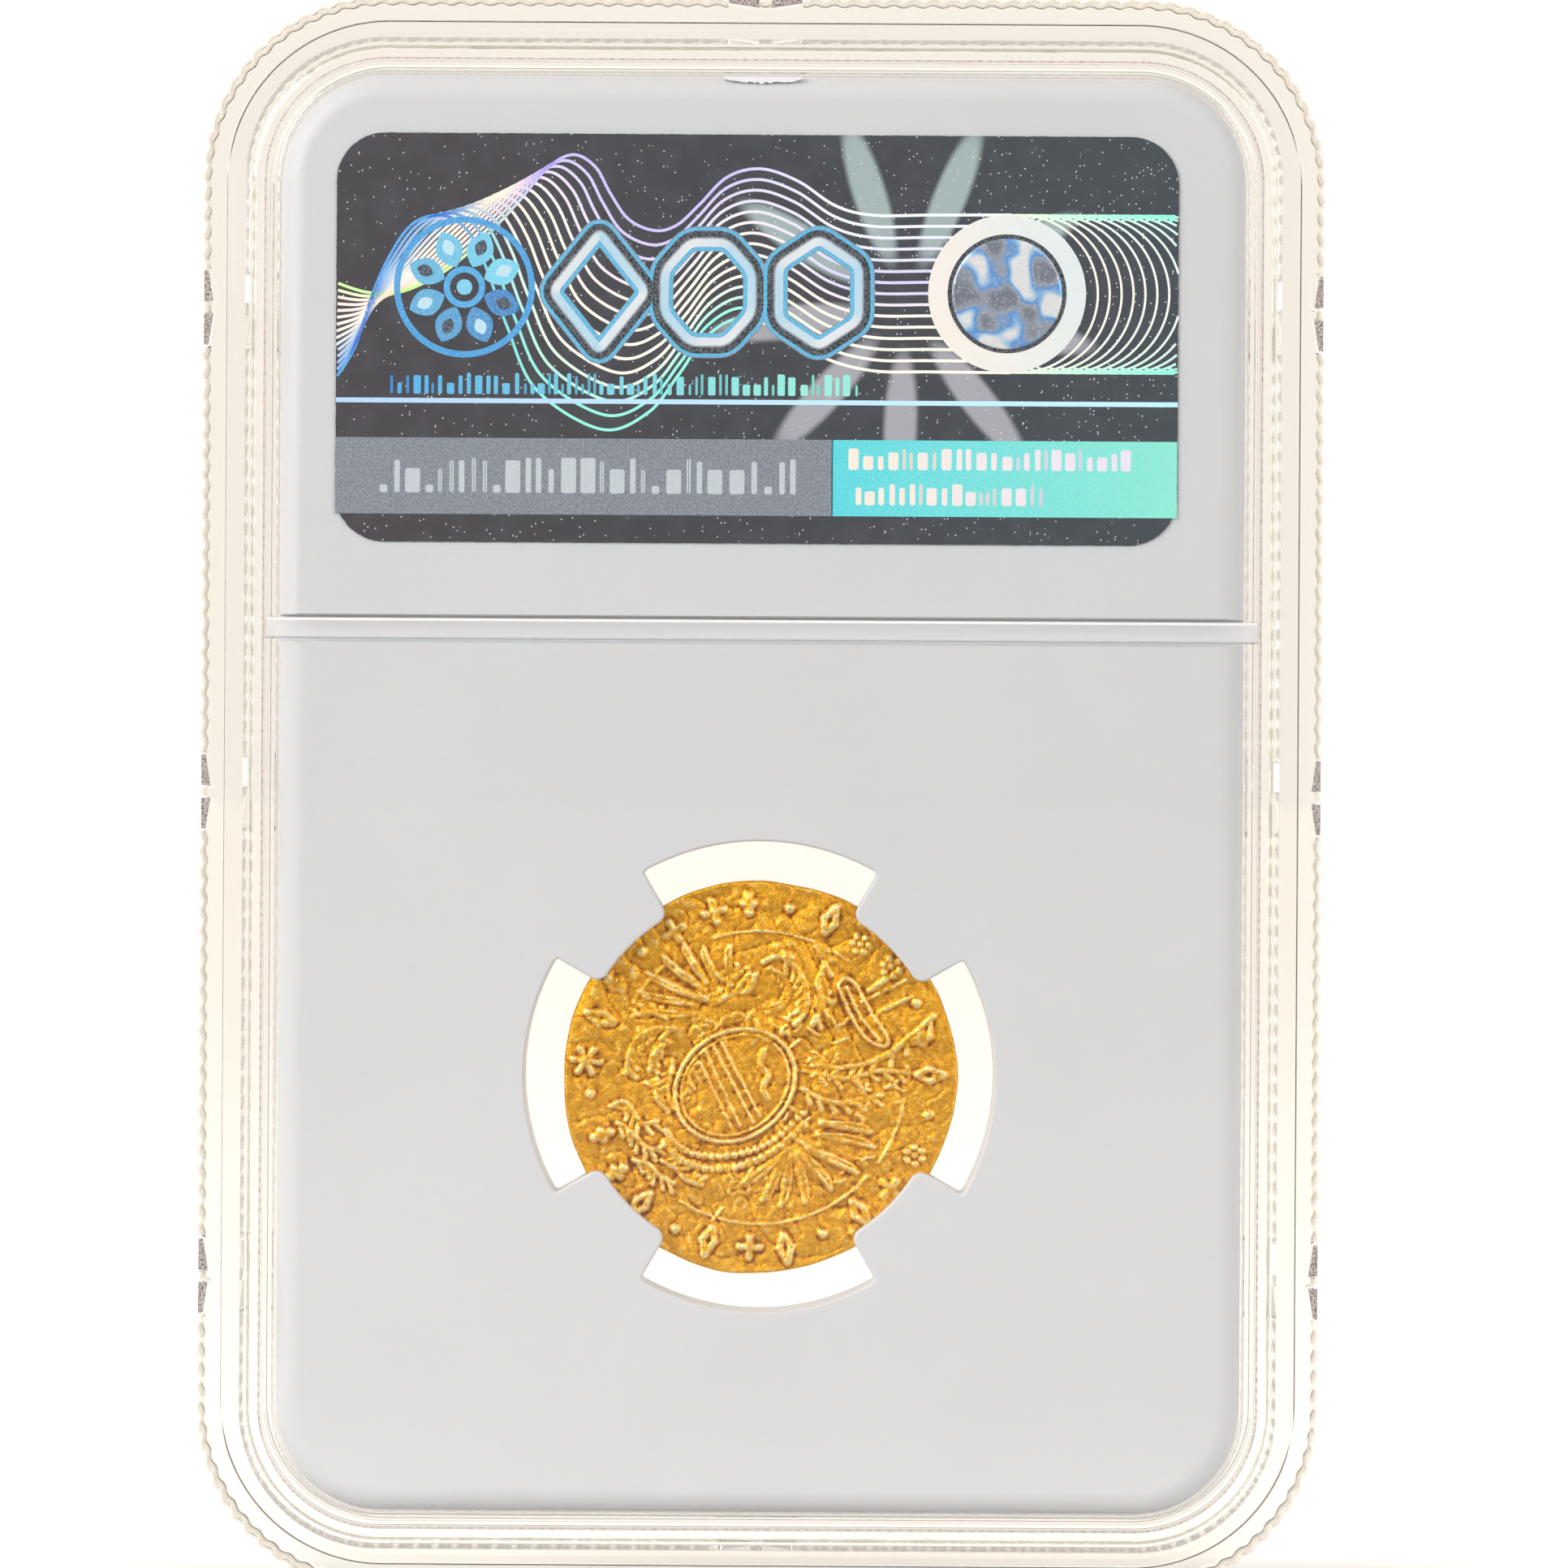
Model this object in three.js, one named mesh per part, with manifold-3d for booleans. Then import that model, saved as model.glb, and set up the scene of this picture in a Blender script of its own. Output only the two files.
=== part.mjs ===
// A sealed coin slab: two clear shells welded together around a white core that grips one coin.
//
// Frame, in millimetres: the slab stands upright. X runs across its width, Y through its
// thickness and Z up its height. The rear, with the security label, faces -Y and the front +Y.
// The origin is the middle of the bottom edge, halfway through the thickness.
//
// Every rounded rectangle is the outline of the slab moved inward, so its corners are concentric.
// "inset" is that distance inward from the outer edge, and "level" is a distance from the
// parting plane between the shells, measured outward on either side.

import * as THREE from "three";
import { mergeVertices } from "three/addons/utils/BufferGeometryUtils.js";
import Module from "manifold-3d";

const wasm = await Module();
wasm.setup();

// Outline of the slab
const WIDTH = 60.3;
const HEIGHT = 85.7;
const CORNER_RADIUS = 9.85;
const CORNER_STEPS = 6; // each gives two sides of a quarter circle
const MIDDLE_Z = HEIGHT / 2;

// Levels of the shells, out from the parting plane
const CHAMBER_LEVEL = 1.9;
const SHOULDER_LEVEL = 2.9;
const WINDOW_LEVEL = 3.3;
const RIDGE_LEVEL = 3.95;

// Insets of the shells
const CHAMBER_INSET = 4.0;
const STEP = { foot: 1.05, top: 1.2 };
const REAR_RIDGE_INNER = { top: 2.42, foot: 2.7 };
const FRONT_RIDGE_OUTER = { foot: 3.35, top: 3.5 };
const FRONT_RIDGE_INNER = { top: 4.1, foot: 4.3 };

// Tongue, groove and the strip of melted plastic that seals them
const GROOVE = { outer: 2.75, inner: 3.25, depth: 1.2 };
const TONGUE = { outer: 2.85, inner: 3.15, height: 0.7 };
const BEAD = { outer: 2.8, inner: 3.2, from: 0.75, to: 1.15 };

// Grip ribs around the edge, and the notches that are cut through the rear shell's edge
const RIB_COUNT = 258;
const RIB_DEPTH = 0.17;
const NOTCH = { length: 4.1, depth: 0.56, rib: 0.6 };
const NOTCH_SPACING = 26.0;

// Core
const CORE_INSET = 4.15;
const CORE_HALF = 1.7;
const CORE_ROUND = 1.35;
const COIN_HOLE = { radius: 12.65, z: 27.7 };
const PRONG = { tipRadius: 9.85, halfAngle: Math.PI / 12 };
const SEAT = { radius: 10.95, half: 0.65 };

// Divider bars, their slot in the core and the pockets for their ends
const BAR = { height: 1.1, z: 51.7, from: 0.75, end: 0.5 };
const BAR_SLOT = { height: 1.5, from: 0.6 };
const BAR_POCKET = { height: 1.24, from: 0.65, length: 0.55 };

// Labels, on the faces of the core
const SECURITY_LABEL = { x: -0.35, z: 67.35, width: 45.3, height: 22.0, radius: 2.6, thickness: 0.1 };
const NAME_CARD = { x: 0, z: 67.35, width: 48.4, height: 23.4, radius: 1.0, thickness: 0.15 };

// Hammered coin, slightly out of round
const COIN = { radius: 10.62, z: 27.6, half: 0.55, edgeRound: 0.15, steps: 72 };
const COIN_WOBBLE = [
  { waves: 2, size: 0.05, phase: 0.4 },
  { waves: 3, size: 0.06, phase: 1.9 },
  { waves: 7, size: 0.03, phase: 0.8 },
];
const SHIELD = { x: -0.9, z: 0.4, halfWidth: 2.65, halfHeight: 3.15, tilt: 0.5, rise: 0.12 };

const PAST = 0.4; // how far a cutter reaches beyond the face that it cuts

// ---------------------------------------------------------------- outlines, in X and Z

function roundedRectangle(width, height, radius, x = 0, z = 0) {
  const right = x + width / 2 - radius;
  const left = x - width / 2 + radius;
  const top = z + height / 2 - radius;
  const bottom = z - height / 2 + radius;
  const shape = new THREE.Shape();
  shape.absarc(right, top, radius, 0, Math.PI / 2);
  shape.absarc(left, top, radius, Math.PI / 2, Math.PI);
  shape.absarc(left, bottom, radius, Math.PI, 1.5 * Math.PI);
  shape.absarc(right, bottom, radius, 1.5 * Math.PI, 2 * Math.PI);
  shape.closePath();
  return shape;
}

function slabOutline(inset) {
  return roundedRectangle(
    WIDTH - 2 * inset, HEIGHT - 2 * inset, CORNER_RADIUS - inset, 0, MIDDLE_Z);
}

// A point of one slab outline, moved inward onto another.
function movedInward(point, distance) {
  const reachX = WIDTH / 2 - CORNER_RADIUS;
  const reachZ = HEIGHT / 2 - CORNER_RADIUS;
  const z = point.y - MIDDLE_Z;
  const centre = new THREE.Vector2(
    THREE.MathUtils.clamp(point.x, -reachX, reachX),
    THREE.MathUtils.clamp(z, -reachZ, reachZ));
  const outward = new THREE.Vector2(point.x, z).sub(centre).normalize();
  return new THREE.Vector2(point.x, point.y).addScaledVector(outward, -distance);
}

function ribbedOutline() {
  const points = slabOutline(0).getSpacedPoints(2 * RIB_COUNT).slice(0, 2 * RIB_COUNT);
  return new THREE.Shape(
    points.map((point, i) => (i % 2 ? movedInward(point, RIB_DEPTH) : point)));
}

// ---------------------------------------------------------------- solids

// A shape drawn in X and Z, extruded from yLow to yHigh.
function plate(shape, yLow, yHigh, options = {}) {
  const geometry = new THREE.ExtrudeGeometry(shape, {
    depth: yHigh - yLow, bevelEnabled: false, curveSegments: CORNER_STEPS, ...options,
  });
  geometry.rotateX(Math.PI / 2);
  return geometry.translate(0, yHigh, 0);
}

// A plate whose side slopes from one inset at yA to another at yB.
function slopedPlate(insetA, yA, insetB, yB) {
  const geometry = plate(slabOutline(insetA), Math.min(yA, yB), Math.max(yA, yB));
  const position = geometry.attributes.position;
  for (let i = 0; i < position.count; i += 1) {
    if (Math.abs(position.getY(i) - yB) < Math.abs(position.getY(i) - yA)) {
      const point = new THREE.Vector2(position.getX(i), position.getZ(i));
      const moved = movedInward(point, insetB - insetA);
      position.setX(i, moved.x);
      position.setZ(i, moved.y);
    }
  }
  return geometry;
}

function box(xLow, xHigh, yLow, yHigh, zLow, zHigh) {
  const geometry = new THREE.BoxGeometry(xHigh - xLow, yHigh - yLow, zHigh - zLow);
  return geometry.translate((xLow + xHigh) / 2, (yLow + yHigh) / 2, (zLow + zHigh) / 2);
}

function toSolid(geometry) {
  const bare = geometry.clone();
  bare.deleteAttribute("normal");
  bare.deleteAttribute("uv");
  const merged = mergeVertices(bare);
  return new wasm.Manifold(new wasm.Mesh({
    numProp: 3,
    vertProperties: new Float32Array(merged.attributes.position.array),
    triVerts: new Uint32Array(merged.index.array),
  }));
}

function toGeometry(solid) {
  const mesh = solid.getMesh();
  const geometry = new THREE.BufferGeometry();
  geometry.setAttribute("position", new THREE.BufferAttribute(mesh.vertProperties, 3));
  geometry.setIndex(new THREE.BufferAttribute(mesh.triVerts, 1));
  geometry.computeVertexNormals();
  return geometry;
}

function ring(insetOuter, insetInner, yLow, yHigh) {
  const outer = toSolid(plate(slabOutline(insetOuter), yLow, yHigh));
  return outer.subtract(toSolid(plate(slabOutline(insetInner), yLow - PAST, yHigh + PAST)));
}

// ---------------------------------------------------------------- shells

// side is -1 for the rear shell and +1 for the front. A level on that side becomes a Y value.
function between(side, levelA, levelB) {
  return [side * levelA, side * levelB].sort((a, b) => a - b);
}

function emptyShell(side) {
  const walls = toSolid(plate(ribbedOutline(), ...between(side, 0, SHOULDER_LEVEL)));
  const chamber = plate(slabOutline(CHAMBER_INSET), ...between(side, -PAST, CHAMBER_LEVEL));
  return walls.subtract(toSolid(chamber));
}

function withBarPockets(shell, side) {
  const wall = WIDTH / 2 - CHAMBER_INSET;
  const [yLow, yHigh] = between(side, BAR_POCKET.from, CHAMBER_LEVEL);
  const zLow = BAR.z - BAR_POCKET.height / 2;
  const zHigh = BAR.z + BAR_POCKET.height / 2;
  const end = wall + BAR_POCKET.length;
  return shell
    .subtract(toSolid(box(wall - PAST, end, yLow, yHigh, zLow, zHigh)))
    .subtract(toSolid(box(-end, PAST - wall, yLow, yHigh, zLow, zHigh)));
}

// One notch beside the origin, cut into an edge that faces +X, with the rib left in its middle.
function notchCutter() {
  const slope = NOTCH.depth / (NOTCH.length / 2);
  const half = NOTCH.length / 2;
  const ribHalf = NOTCH.rib / 2;
  const innermost = -NOTCH.depth + slope * ribHalf;
  const halves = [1, -1].map((way) => {
    const shape = new THREE.Shape([
      new THREE.Vector2(innermost, way * ribHalf),
      new THREE.Vector2(PAST, way * ribHalf),
      new THREE.Vector2(PAST, way * half),
      new THREE.Vector2(0, way * half),
    ]);
    return toSolid(plate(shape, -SHOULDER_LEVEL - PAST, PAST));
  });
  return halves[0].add(halves[1]);
}

function withNotches(shell) {
  const places = [
    { x: 0, z: HEIGHT, turn: -90 },
    { x: 0, z: 0, turn: 90 },
  ];
  for (const offset of [-NOTCH_SPACING, 0, NOTCH_SPACING]) {
    places.push({ x: WIDTH / 2, z: MIDDLE_Z + offset, turn: 0 });
    places.push({ x: -WIDTH / 2, z: MIDDLE_Z + offset, turn: 180 });
  }
  const cutter = notchCutter();
  let cut = shell;
  for (const { x, z, turn } of places) {
    cut = cut.subtract(cutter.rotate([0, turn, 0]).translate([x, 0, z]));
  }
  return cut;
}

// The rear shell carries the outer stacking ridge and the groove.
function rearShell() {
  const ridge = slopedPlate(STEP.foot, -SHOULDER_LEVEL + 0.1, STEP.top, -RIDGE_LEVEL);
  const slope = (REAR_RIDGE_INNER.foot - REAR_RIDGE_INNER.top) / (RIDGE_LEVEL - WINDOW_LEVEL);
  const recess = slopedPlate(
    REAR_RIDGE_INNER.foot, -WINDOW_LEVEL,
    REAR_RIDGE_INNER.top - slope * PAST, -RIDGE_LEVEL - PAST);
  const chamber = plate(slabOutline(CHAMBER_INSET), ...between(-1, -PAST, CHAMBER_LEVEL));
  const shell = emptyShell(-1)
    .add(toSolid(ridge))
    .subtract(toSolid(recess))
    .subtract(toSolid(chamber))
    .subtract(ring(GROOVE.outer, GROOVE.inner, -GROOVE.depth, PAST));
  return toGeometry(withNotches(withBarPockets(shell, -1)));
}

// The front shell carries the inner stacking ridge, which nests in another slab's rear, and the tongue.
function frontShell() {
  const flange = plate(slabOutline(STEP.foot), SHOULDER_LEVEL - 0.1, WINDOW_LEVEL);
  const ridge = slopedPlate(FRONT_RIDGE_OUTER.foot, WINDOW_LEVEL - 0.1, FRONT_RIDGE_OUTER.top, RIDGE_LEVEL);
  const slope = (FRONT_RIDGE_INNER.foot - FRONT_RIDGE_INNER.top) / (RIDGE_LEVEL - WINDOW_LEVEL);
  const recess = slopedPlate(
    FRONT_RIDGE_INNER.foot, WINDOW_LEVEL,
    FRONT_RIDGE_INNER.top - slope * PAST, RIDGE_LEVEL + PAST);
  const chamber = plate(slabOutline(CHAMBER_INSET), ...between(1, -PAST, CHAMBER_LEVEL));
  const shell = emptyShell(1)
    .add(toSolid(flange))
    .add(toSolid(ridge))
    .subtract(toSolid(recess))
    .subtract(toSolid(chamber))
    .add(ring(TONGUE.outer, TONGUE.inner, -TONGUE.height, 0.1));
  return toGeometry(withBarPockets(shell, 1));
}

function weldBead() {
  return toGeometry(ring(BEAD.outer, BEAD.inner, -BEAD.to, -BEAD.from));
}

// ---------------------------------------------------------------- what the shells hold

// The opening around the coin: a round hole less four prongs on its diagonals.
function coinOpening() {
  const shape = new THREE.Shape();
  const wide = Math.PI / 4 - PRONG.halfAngle;
  for (let quarter = 0; quarter < 4; quarter += 1) {
    const middle = (quarter * Math.PI) / 2;
    shape.absarc(0, COIN_HOLE.z, COIN_HOLE.radius, middle - wide, middle + wide);
    shape.absarc(
      0, COIN_HOLE.z, PRONG.tipRadius, middle + wide, middle + wide + 2 * PRONG.halfAngle);
  }
  shape.closePath();
  return shape;
}

function core() {
  const block = plate(slabOutline(CORE_INSET), -CORE_HALF + CORE_ROUND, CORE_HALF - CORE_ROUND, {
    bevelEnabled: true, bevelThickness: CORE_ROUND, bevelSize: CORE_ROUND,
    bevelOffset: -CORE_ROUND, bevelSegments: 3,
  });
  const opening = plate(coinOpening(), -CORE_HALF - PAST, CORE_HALF + PAST);
  const seat = new THREE.CylinderGeometry(SEAT.radius, SEAT.radius, 2 * SEAT.half, COIN.steps)
    .translate(0, 0, COIN_HOLE.z);
  const slots = [-1, 1].map((side) => {
    const [yLow, yHigh] = between(side, BAR_SLOT.from, CORE_HALF + PAST);
    const half = BAR_SLOT.height / 2;
    return toSolid(box(-WIDTH / 2, WIDTH / 2, yLow, yHigh, BAR.z - half, BAR.z + half));
  });
  const solid = toSolid(block)
    .subtract(toSolid(opening))
    .subtract(toSolid(seat))
    .subtract(slots[0])
    .subtract(slots[1]);
  return toGeometry(solid);
}

function dividerBar(side) {
  const halfLength = WIDTH / 2 - CHAMBER_INSET + BAR.end;
  const [yLow, yHigh] = between(side, BAR.from, CHAMBER_LEVEL);
  return box(-halfLength, halfLength, yLow, yHigh, BAR.z - BAR.height / 2, BAR.z + BAR.height / 2);
}

function label({ x, z, width, height, radius, thickness }, side) {
  const shape = roundedRectangle(width, height, radius, x, z);
  return plate(shape, ...between(side, CORE_HALF, CORE_HALF + thickness));
}

function coin() {
  const points = [];
  for (let i = 0; i < COIN.steps; i += 1) {
    const angle = (2 * Math.PI * i) / COIN.steps;
    let radius = COIN.radius;
    for (const { waves, size, phase } of COIN_WOBBLE) {
      radius += size * Math.sin(waves * angle + phase);
    }
    points.push(new THREE.Vector2(radius * Math.cos(angle), COIN.z + radius * Math.sin(angle)));
  }
  const { half, edgeRound } = COIN;
  const flan = plate(new THREE.Shape(points), -half + edgeRound, half - edgeRound, {
    bevelEnabled: true, bevelThickness: edgeRound, bevelSize: edgeRound,
    bevelOffset: -edgeRound, bevelSegments: 1,
  });
  const oval = new THREE.Shape();
  oval.absellipse(
    SHIELD.x, COIN.z + SHIELD.z, SHIELD.halfWidth, SHIELD.halfHeight, 0, 2 * Math.PI, false, SHIELD.tilt);
  const shield = plate(oval, -half - SHIELD.rise, 0);
  return toGeometry(toSolid(flan).add(toSolid(shield)));
}

// ---------------------------------------------------------------- assembly

function piece(name, geometry, material) {
  const mesh = new THREE.Mesh(geometry, new THREE.MeshStandardMaterial(material));
  mesh.name = name;
  return mesh;
}

const CLEAR = { color: 0xf4f1ea, roughness: 0.08, metalness: 0, transparent: true, opacity: 0.35 };
const WHITE = { color: 0xe4e3e5, roughness: 0.55, metalness: 0 };
const FOIL = { color: 0x2a2d38, roughness: 0.25, metalness: 0.8 };
const CARD = { color: 0xf2f0ea, roughness: 0.7, metalness: 0 };
const GOLD = { color: 0xe0a030, roughness: 0.35, metalness: 1 };

const slab = new THREE.Group();
slab.add(piece("rear_shell", rearShell(), CLEAR));
slab.add(piece("front_shell", frontShell(), CLEAR));
slab.add(piece("weld_bead", weldBead(), CLEAR));
slab.add(piece("core", core(), WHITE));
slab.add(piece("rear_divider_bar", dividerBar(-1), CLEAR));
slab.add(piece("front_divider_bar", dividerBar(1), CLEAR));
slab.add(piece("security_label", label(SECURITY_LABEL, -1), FOIL));
slab.add(piece("name_card", label(NAME_CARD, 1), CARD));
slab.add(piece("coin", coin(), GOLD));

export default slab;
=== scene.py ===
"""The looks of a sealed coin slab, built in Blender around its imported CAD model.

Lengths are in millimetres until new_piece() turns them into metres. A point is (x, y, z) in the
CAD frame: x across the slab, y through it and z up. The rear of the slab, with the security
label, faces -y. "level" is a distance from the parting plane at y = 0, on either side of it,
and "inset" is a distance inward from the slab's outer edge.
"""

import math

import bmesh
import bpy
import numpy as np
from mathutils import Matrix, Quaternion, Vector


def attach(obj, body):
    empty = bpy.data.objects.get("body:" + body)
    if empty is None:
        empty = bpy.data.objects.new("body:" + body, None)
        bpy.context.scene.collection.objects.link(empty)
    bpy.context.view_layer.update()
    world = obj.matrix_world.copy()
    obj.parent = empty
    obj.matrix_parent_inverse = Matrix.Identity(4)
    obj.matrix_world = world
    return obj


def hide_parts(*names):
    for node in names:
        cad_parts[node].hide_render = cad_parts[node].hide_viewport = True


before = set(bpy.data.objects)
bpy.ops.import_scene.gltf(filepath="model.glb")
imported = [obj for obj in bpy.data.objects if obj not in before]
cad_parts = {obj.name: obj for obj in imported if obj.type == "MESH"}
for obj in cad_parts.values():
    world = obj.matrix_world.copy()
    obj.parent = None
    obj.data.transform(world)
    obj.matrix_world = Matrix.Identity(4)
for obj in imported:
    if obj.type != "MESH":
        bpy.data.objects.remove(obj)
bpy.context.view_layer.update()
MM = 0.001
REAR, FRONT = -1, 1

# Slab outline and the grip of its edge
WIDTH, HEIGHT, CORNER = 60.3, 85.7, 9.85
HALF_X, HALF_Z, MIDDLE_Z = WIDTH / 2 - CORNER, HEIGHT / 2 - CORNER, HEIGHT / 2
SLAB_ROUND = 4 * (HALF_X + HALF_Z) + 2 * math.pi * CORNER
CHAMBER_INSET, CHAMBER_LEVEL = 4.0, 1.9
PARTING_GAP = 0.012
RIBS, RIB_POINTS, RIB_DEPTH = 258, 6, 0.14
RIB_FADE = (0.3, 1.0)  # insets between which ribs and notches die away on the shoulder
NOTCH_HALF, NOTCH_DEPTH, NOTCH_TAPER, NOTCH_SPACING = 2.05, 0.6, 0.45, 26.0
NOTCH_RIB_HALF, NOTCH_RIB_SUNK = 0.3, 0.1
NOTCH_SHELF_LEVELS = (2.45, 2.75)
FROST_TINT, FROST_ROUGHNESS, FROST_INSET = (0.98, 0.94, 0.88), 0.3, 0.24

# Core, coin, bars, label and card
CORE_INSET, CORE_LEVEL, CORE_ROUND, CORE_WEB_LEVEL = 4.15, 1.7, 1.35, 0.62
HOLE_Z, HOLE_RADIUS, TIP_RADIUS = 27.7, 12.65, 9.85
SEAT_RADIUS, SEAT_LEVEL = 10.95, 0.65
COIN_Z, COIN_HALF = 27.6, 0.55
FACE_SHARE = 0.988  # of the coin's radius, within which its faces lie
BROAD = 0.5  # strokes at least this wide are low masses that carry the finer ones
BAR_Z, BAR_HEIGHT, BAR_LEVELS, BAR_HALF_LENGTH = 51.7, 1.1, (0.75, 1.9), 26.65
POCKET_LENGTH, POCKET_HEIGHT, POCKET_LEVEL = 0.55, 1.24, 0.65
LABEL_X, LABEL_Z, LABEL_WIDTH, LABEL_HEIGHT, LABEL_CORNER = -0.35, 67.35, 45.3, 22.0, 2.6
LABEL_THICKNESS, LABEL_TEETH, TOOTH_PITCH = 0.1, 0.03, 0.11
CARD_Z, CARD_WIDTH, CARD_HEIGHT, CARD_CORNER, CARD_THICKNESS = 67.35, 48.4, 23.4, 1.0, 0.15

# Light: world colours from the camera's side (-1) to the back (1), and the glow of the floor behind
AIR = [(-1.0, (0.15, 0.15, 0.15)), (-0.97, (0.17, 0.17, 0.17)), (-0.90, (0.54, 0.54, 0.56)),
       (-0.15, (0.50, 0.50, 0.51)), (0.35, (1.21, 1.17, 1.08)), (1.0, (1.21, 1.17, 1.08))]
AIR_STRENGTH, FLOOR_GLOW, BACK_TINT = 1.5, 0.62, (1.0, 0.955, 0.83)
CAMERA_PLACE, CAMERA_ROLL = (1.24, -353.5, 43.44), 0.35  # millimetres and degrees


# ---------------------------------------------------------------- noise

def smooth_noise(x, z, size, seed):
    """Smooth random numbers from -1 to 1 over a plane, with bumps about `size` across."""
    random = np.random.default_rng(seed).uniform(-1, 1, (64, 64))
    u, v = x / size, z / size
    i, j = np.floor(u).astype(int), np.floor(v).astype(int)
    a, b = u - i, v - j
    a, b = a * a * (3 - 2 * a), b * b * (3 - 2 * b)
    i0, i1, j0, j1 = i % 64, (i + 1) % 64, j % 64, (j + 1) % 64
    low = random[i0, j0] * (1 - a) + random[i1, j0] * a
    high = random[i0, j1] * (1 - a) + random[i1, j1] * a
    return low * (1 - b) + high * b


# ---------------------------------------------------------------- meshes

def new_object(name, data):
    """An object of a mesh, lamp or camera, put into the scene."""
    made = bpy.data.objects.new(name, data)
    bpy.context.scene.collection.objects.link(made)
    return made


def new_piece(name, points, faces, material, smooth=True):
    """A mesh object from points in millimetres."""
    mesh = bpy.data.meshes.new(name)
    mesh.from_pydata(np.asarray(points, float) * MM, [], faces)
    piece = new_object(name, mesh)
    face_outward(mesh)
    if smooth:
        mesh.shade_smooth()
    mesh.materials.append(material)
    return piece


def face_outward(mesh):
    bm = bmesh.new()
    bm.from_mesh(mesh)
    bmesh.ops.recalc_face_normals(bm, faces=bm.faces)
    bm.to_mesh(mesh)
    bm.free()


def apply_modifiers(piece):
    graph = bpy.context.evaluated_depsgraph_get()
    made = bpy.data.meshes.new_from_object(piece.evaluated_get(graph))
    old, piece.data = piece.data, made
    piece.modifiers.clear()
    bpy.data.meshes.remove(old)
    piece.data.name = piece.name


def combine(piece, others, operation):
    """Joins or cuts piece with the other objects, which are then removed."""
    for other in others:
        modifier = piece.modifiers.new(operation, "BOOLEAN")
        modifier.solver, modifier.operation, modifier.object = "MANIFOLD", operation, other
    apply_modifiers(piece)
    for other in others:
        mesh = other.data
        bpy.data.objects.remove(other)
        bpy.data.meshes.remove(mesh)


def flatten_shading(piece, sharp=55):
    """Large faces keep their own direction, small rounded edges shade as round, and corners stay sharp."""
    mesh = piece.data
    corner_vertex = np.array([corner.vertex_index for corner in mesh.loops])
    corner_face = np.repeat(np.arange(len(mesh.polygons)), [face.loop_total for face in mesh.polygons])
    normals = np.array([face.normal[:] for face in mesh.polygons])
    areas = np.array([face.area for face in mesh.polygons])
    order = np.argsort(corner_vertex, kind="stable")
    counts = np.bincount(corner_vertex, minlength=len(mesh.vertices))
    starts = np.concatenate([[0], np.cumsum(counts)[:-1]])
    around = counts[corner_vertex]
    mine = np.repeat(np.arange(len(order)), around)
    step = np.arange(len(mine)) - np.repeat(np.cumsum(around) - around, around)
    other = corner_face[order[np.repeat(starts[corner_vertex], around) + step]]
    near = (normals[corner_face[mine]] * normals[other]).sum(1) > math.cos(math.radians(sharp))
    pull = normals[other] * (near * areas[other] ** 2 + 1e-24 * near)[:, None]
    total = np.stack([np.bincount(mine, pull[:, axis], len(order)) for axis in range(3)], 1)
    total /= np.maximum(np.linalg.norm(total, axis=1, keepdims=True), 1e-30)
    mesh.shade_smooth()
    mesh.normals_split_custom_set(total.tolist())


def tag(piece, name, values):
    """A number at each point, for the material to read."""
    layer = piece.data.attributes.new(name, "FLOAT", "POINT")
    layer.data.foreach_set("value", np.asarray(values, np.float32))


def loft_faces(loops, points, capped=True):
    """Faces between rings of points, with flat ends or, where it isn't capped, closed on itself."""
    i = np.arange(points)
    j = (i + 1) % points
    faces = []
    for k in range(loops - 1 if capped else loops):
        low, high = k * points, (k + 1) % loops * points
        faces += np.stack([low + i, low + j, high + j, high + i], 1).tolist()
    if capped:
        faces += [i[::-1].tolist(), ((loops - 1) * points + i).tolist()]
    return faces


def loft(name, loops, material, smooth=True):
    """A closed solid through loops of equal length, with flat ends."""
    faces = loft_faces(len(loops), len(loops[0]))
    return new_piece(name, np.concatenate(loops), faces, material, smooth)


def level_loop(flat, level, side):
    """A loop of (x, z) points at one level, or one level for each point."""
    y = np.broadcast_to(side * np.asarray(level, float), len(flat))
    return np.stack([flat[:, 0], y, flat[:, 1]], 1)


def bend(start, corner, end, steps):
    """Points on the round stretch that takes the place of a corner."""
    t = np.linspace(0, 1, steps)[:, None]
    return (1 - t) ** 2 * start + 2 * t * (1 - t) * corner + t ** 2 * end


def rounded_profile(corners, steps=2):
    """(inset, level) points along a profile, from (inset, level, radius) corners."""
    points = [np.array(corners[0][:2])]
    for before, (x, y, radius), after in zip(corners, corners[1:], corners[2:]):
        corner = np.array([x, y])
        if not radius:
            points.append(corner)
            continue
        into = corner - np.array(before[:2])
        out = np.array(after[:2]) - corner
        into, out = into / np.linalg.norm(into), out / np.linalg.norm(out)
        turn = math.acos(np.clip(into @ out, -1, 1))
        reach = radius * math.tan(turn / 2)
        start, end = corner - into * reach, corner + out * reach
        points += list(bend(start, corner, end, steps + 1))
    points.append(np.array(corners[-1][:2]))
    return points


# ---------------------------------------------------------------- outlines

def corner_box(x0, x1, z0, z1, radius, spacing=0.35):
    """Points and outward directions round a box with round corners."""
    points, outward = [], []
    steps = max(6, int(radius * math.pi / 2 / spacing))
    for quarter, (x, z) in enumerate(((x1, z1), (x0, z1), (x0, z0), (x1, z0))):
        centre = np.array([x - radius if x == x1 else x + radius, z - radius if z == z1 else z + radius])
        angle = (quarter + np.linspace(0, 1, steps + 1)) * math.pi / 2
        direction = np.stack([np.cos(angle), np.sin(angle)], 1)
        points.append(centre + radius * direction)
        outward.append(direction)
    return np.concatenate(points), np.concatenate(outward)


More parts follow.
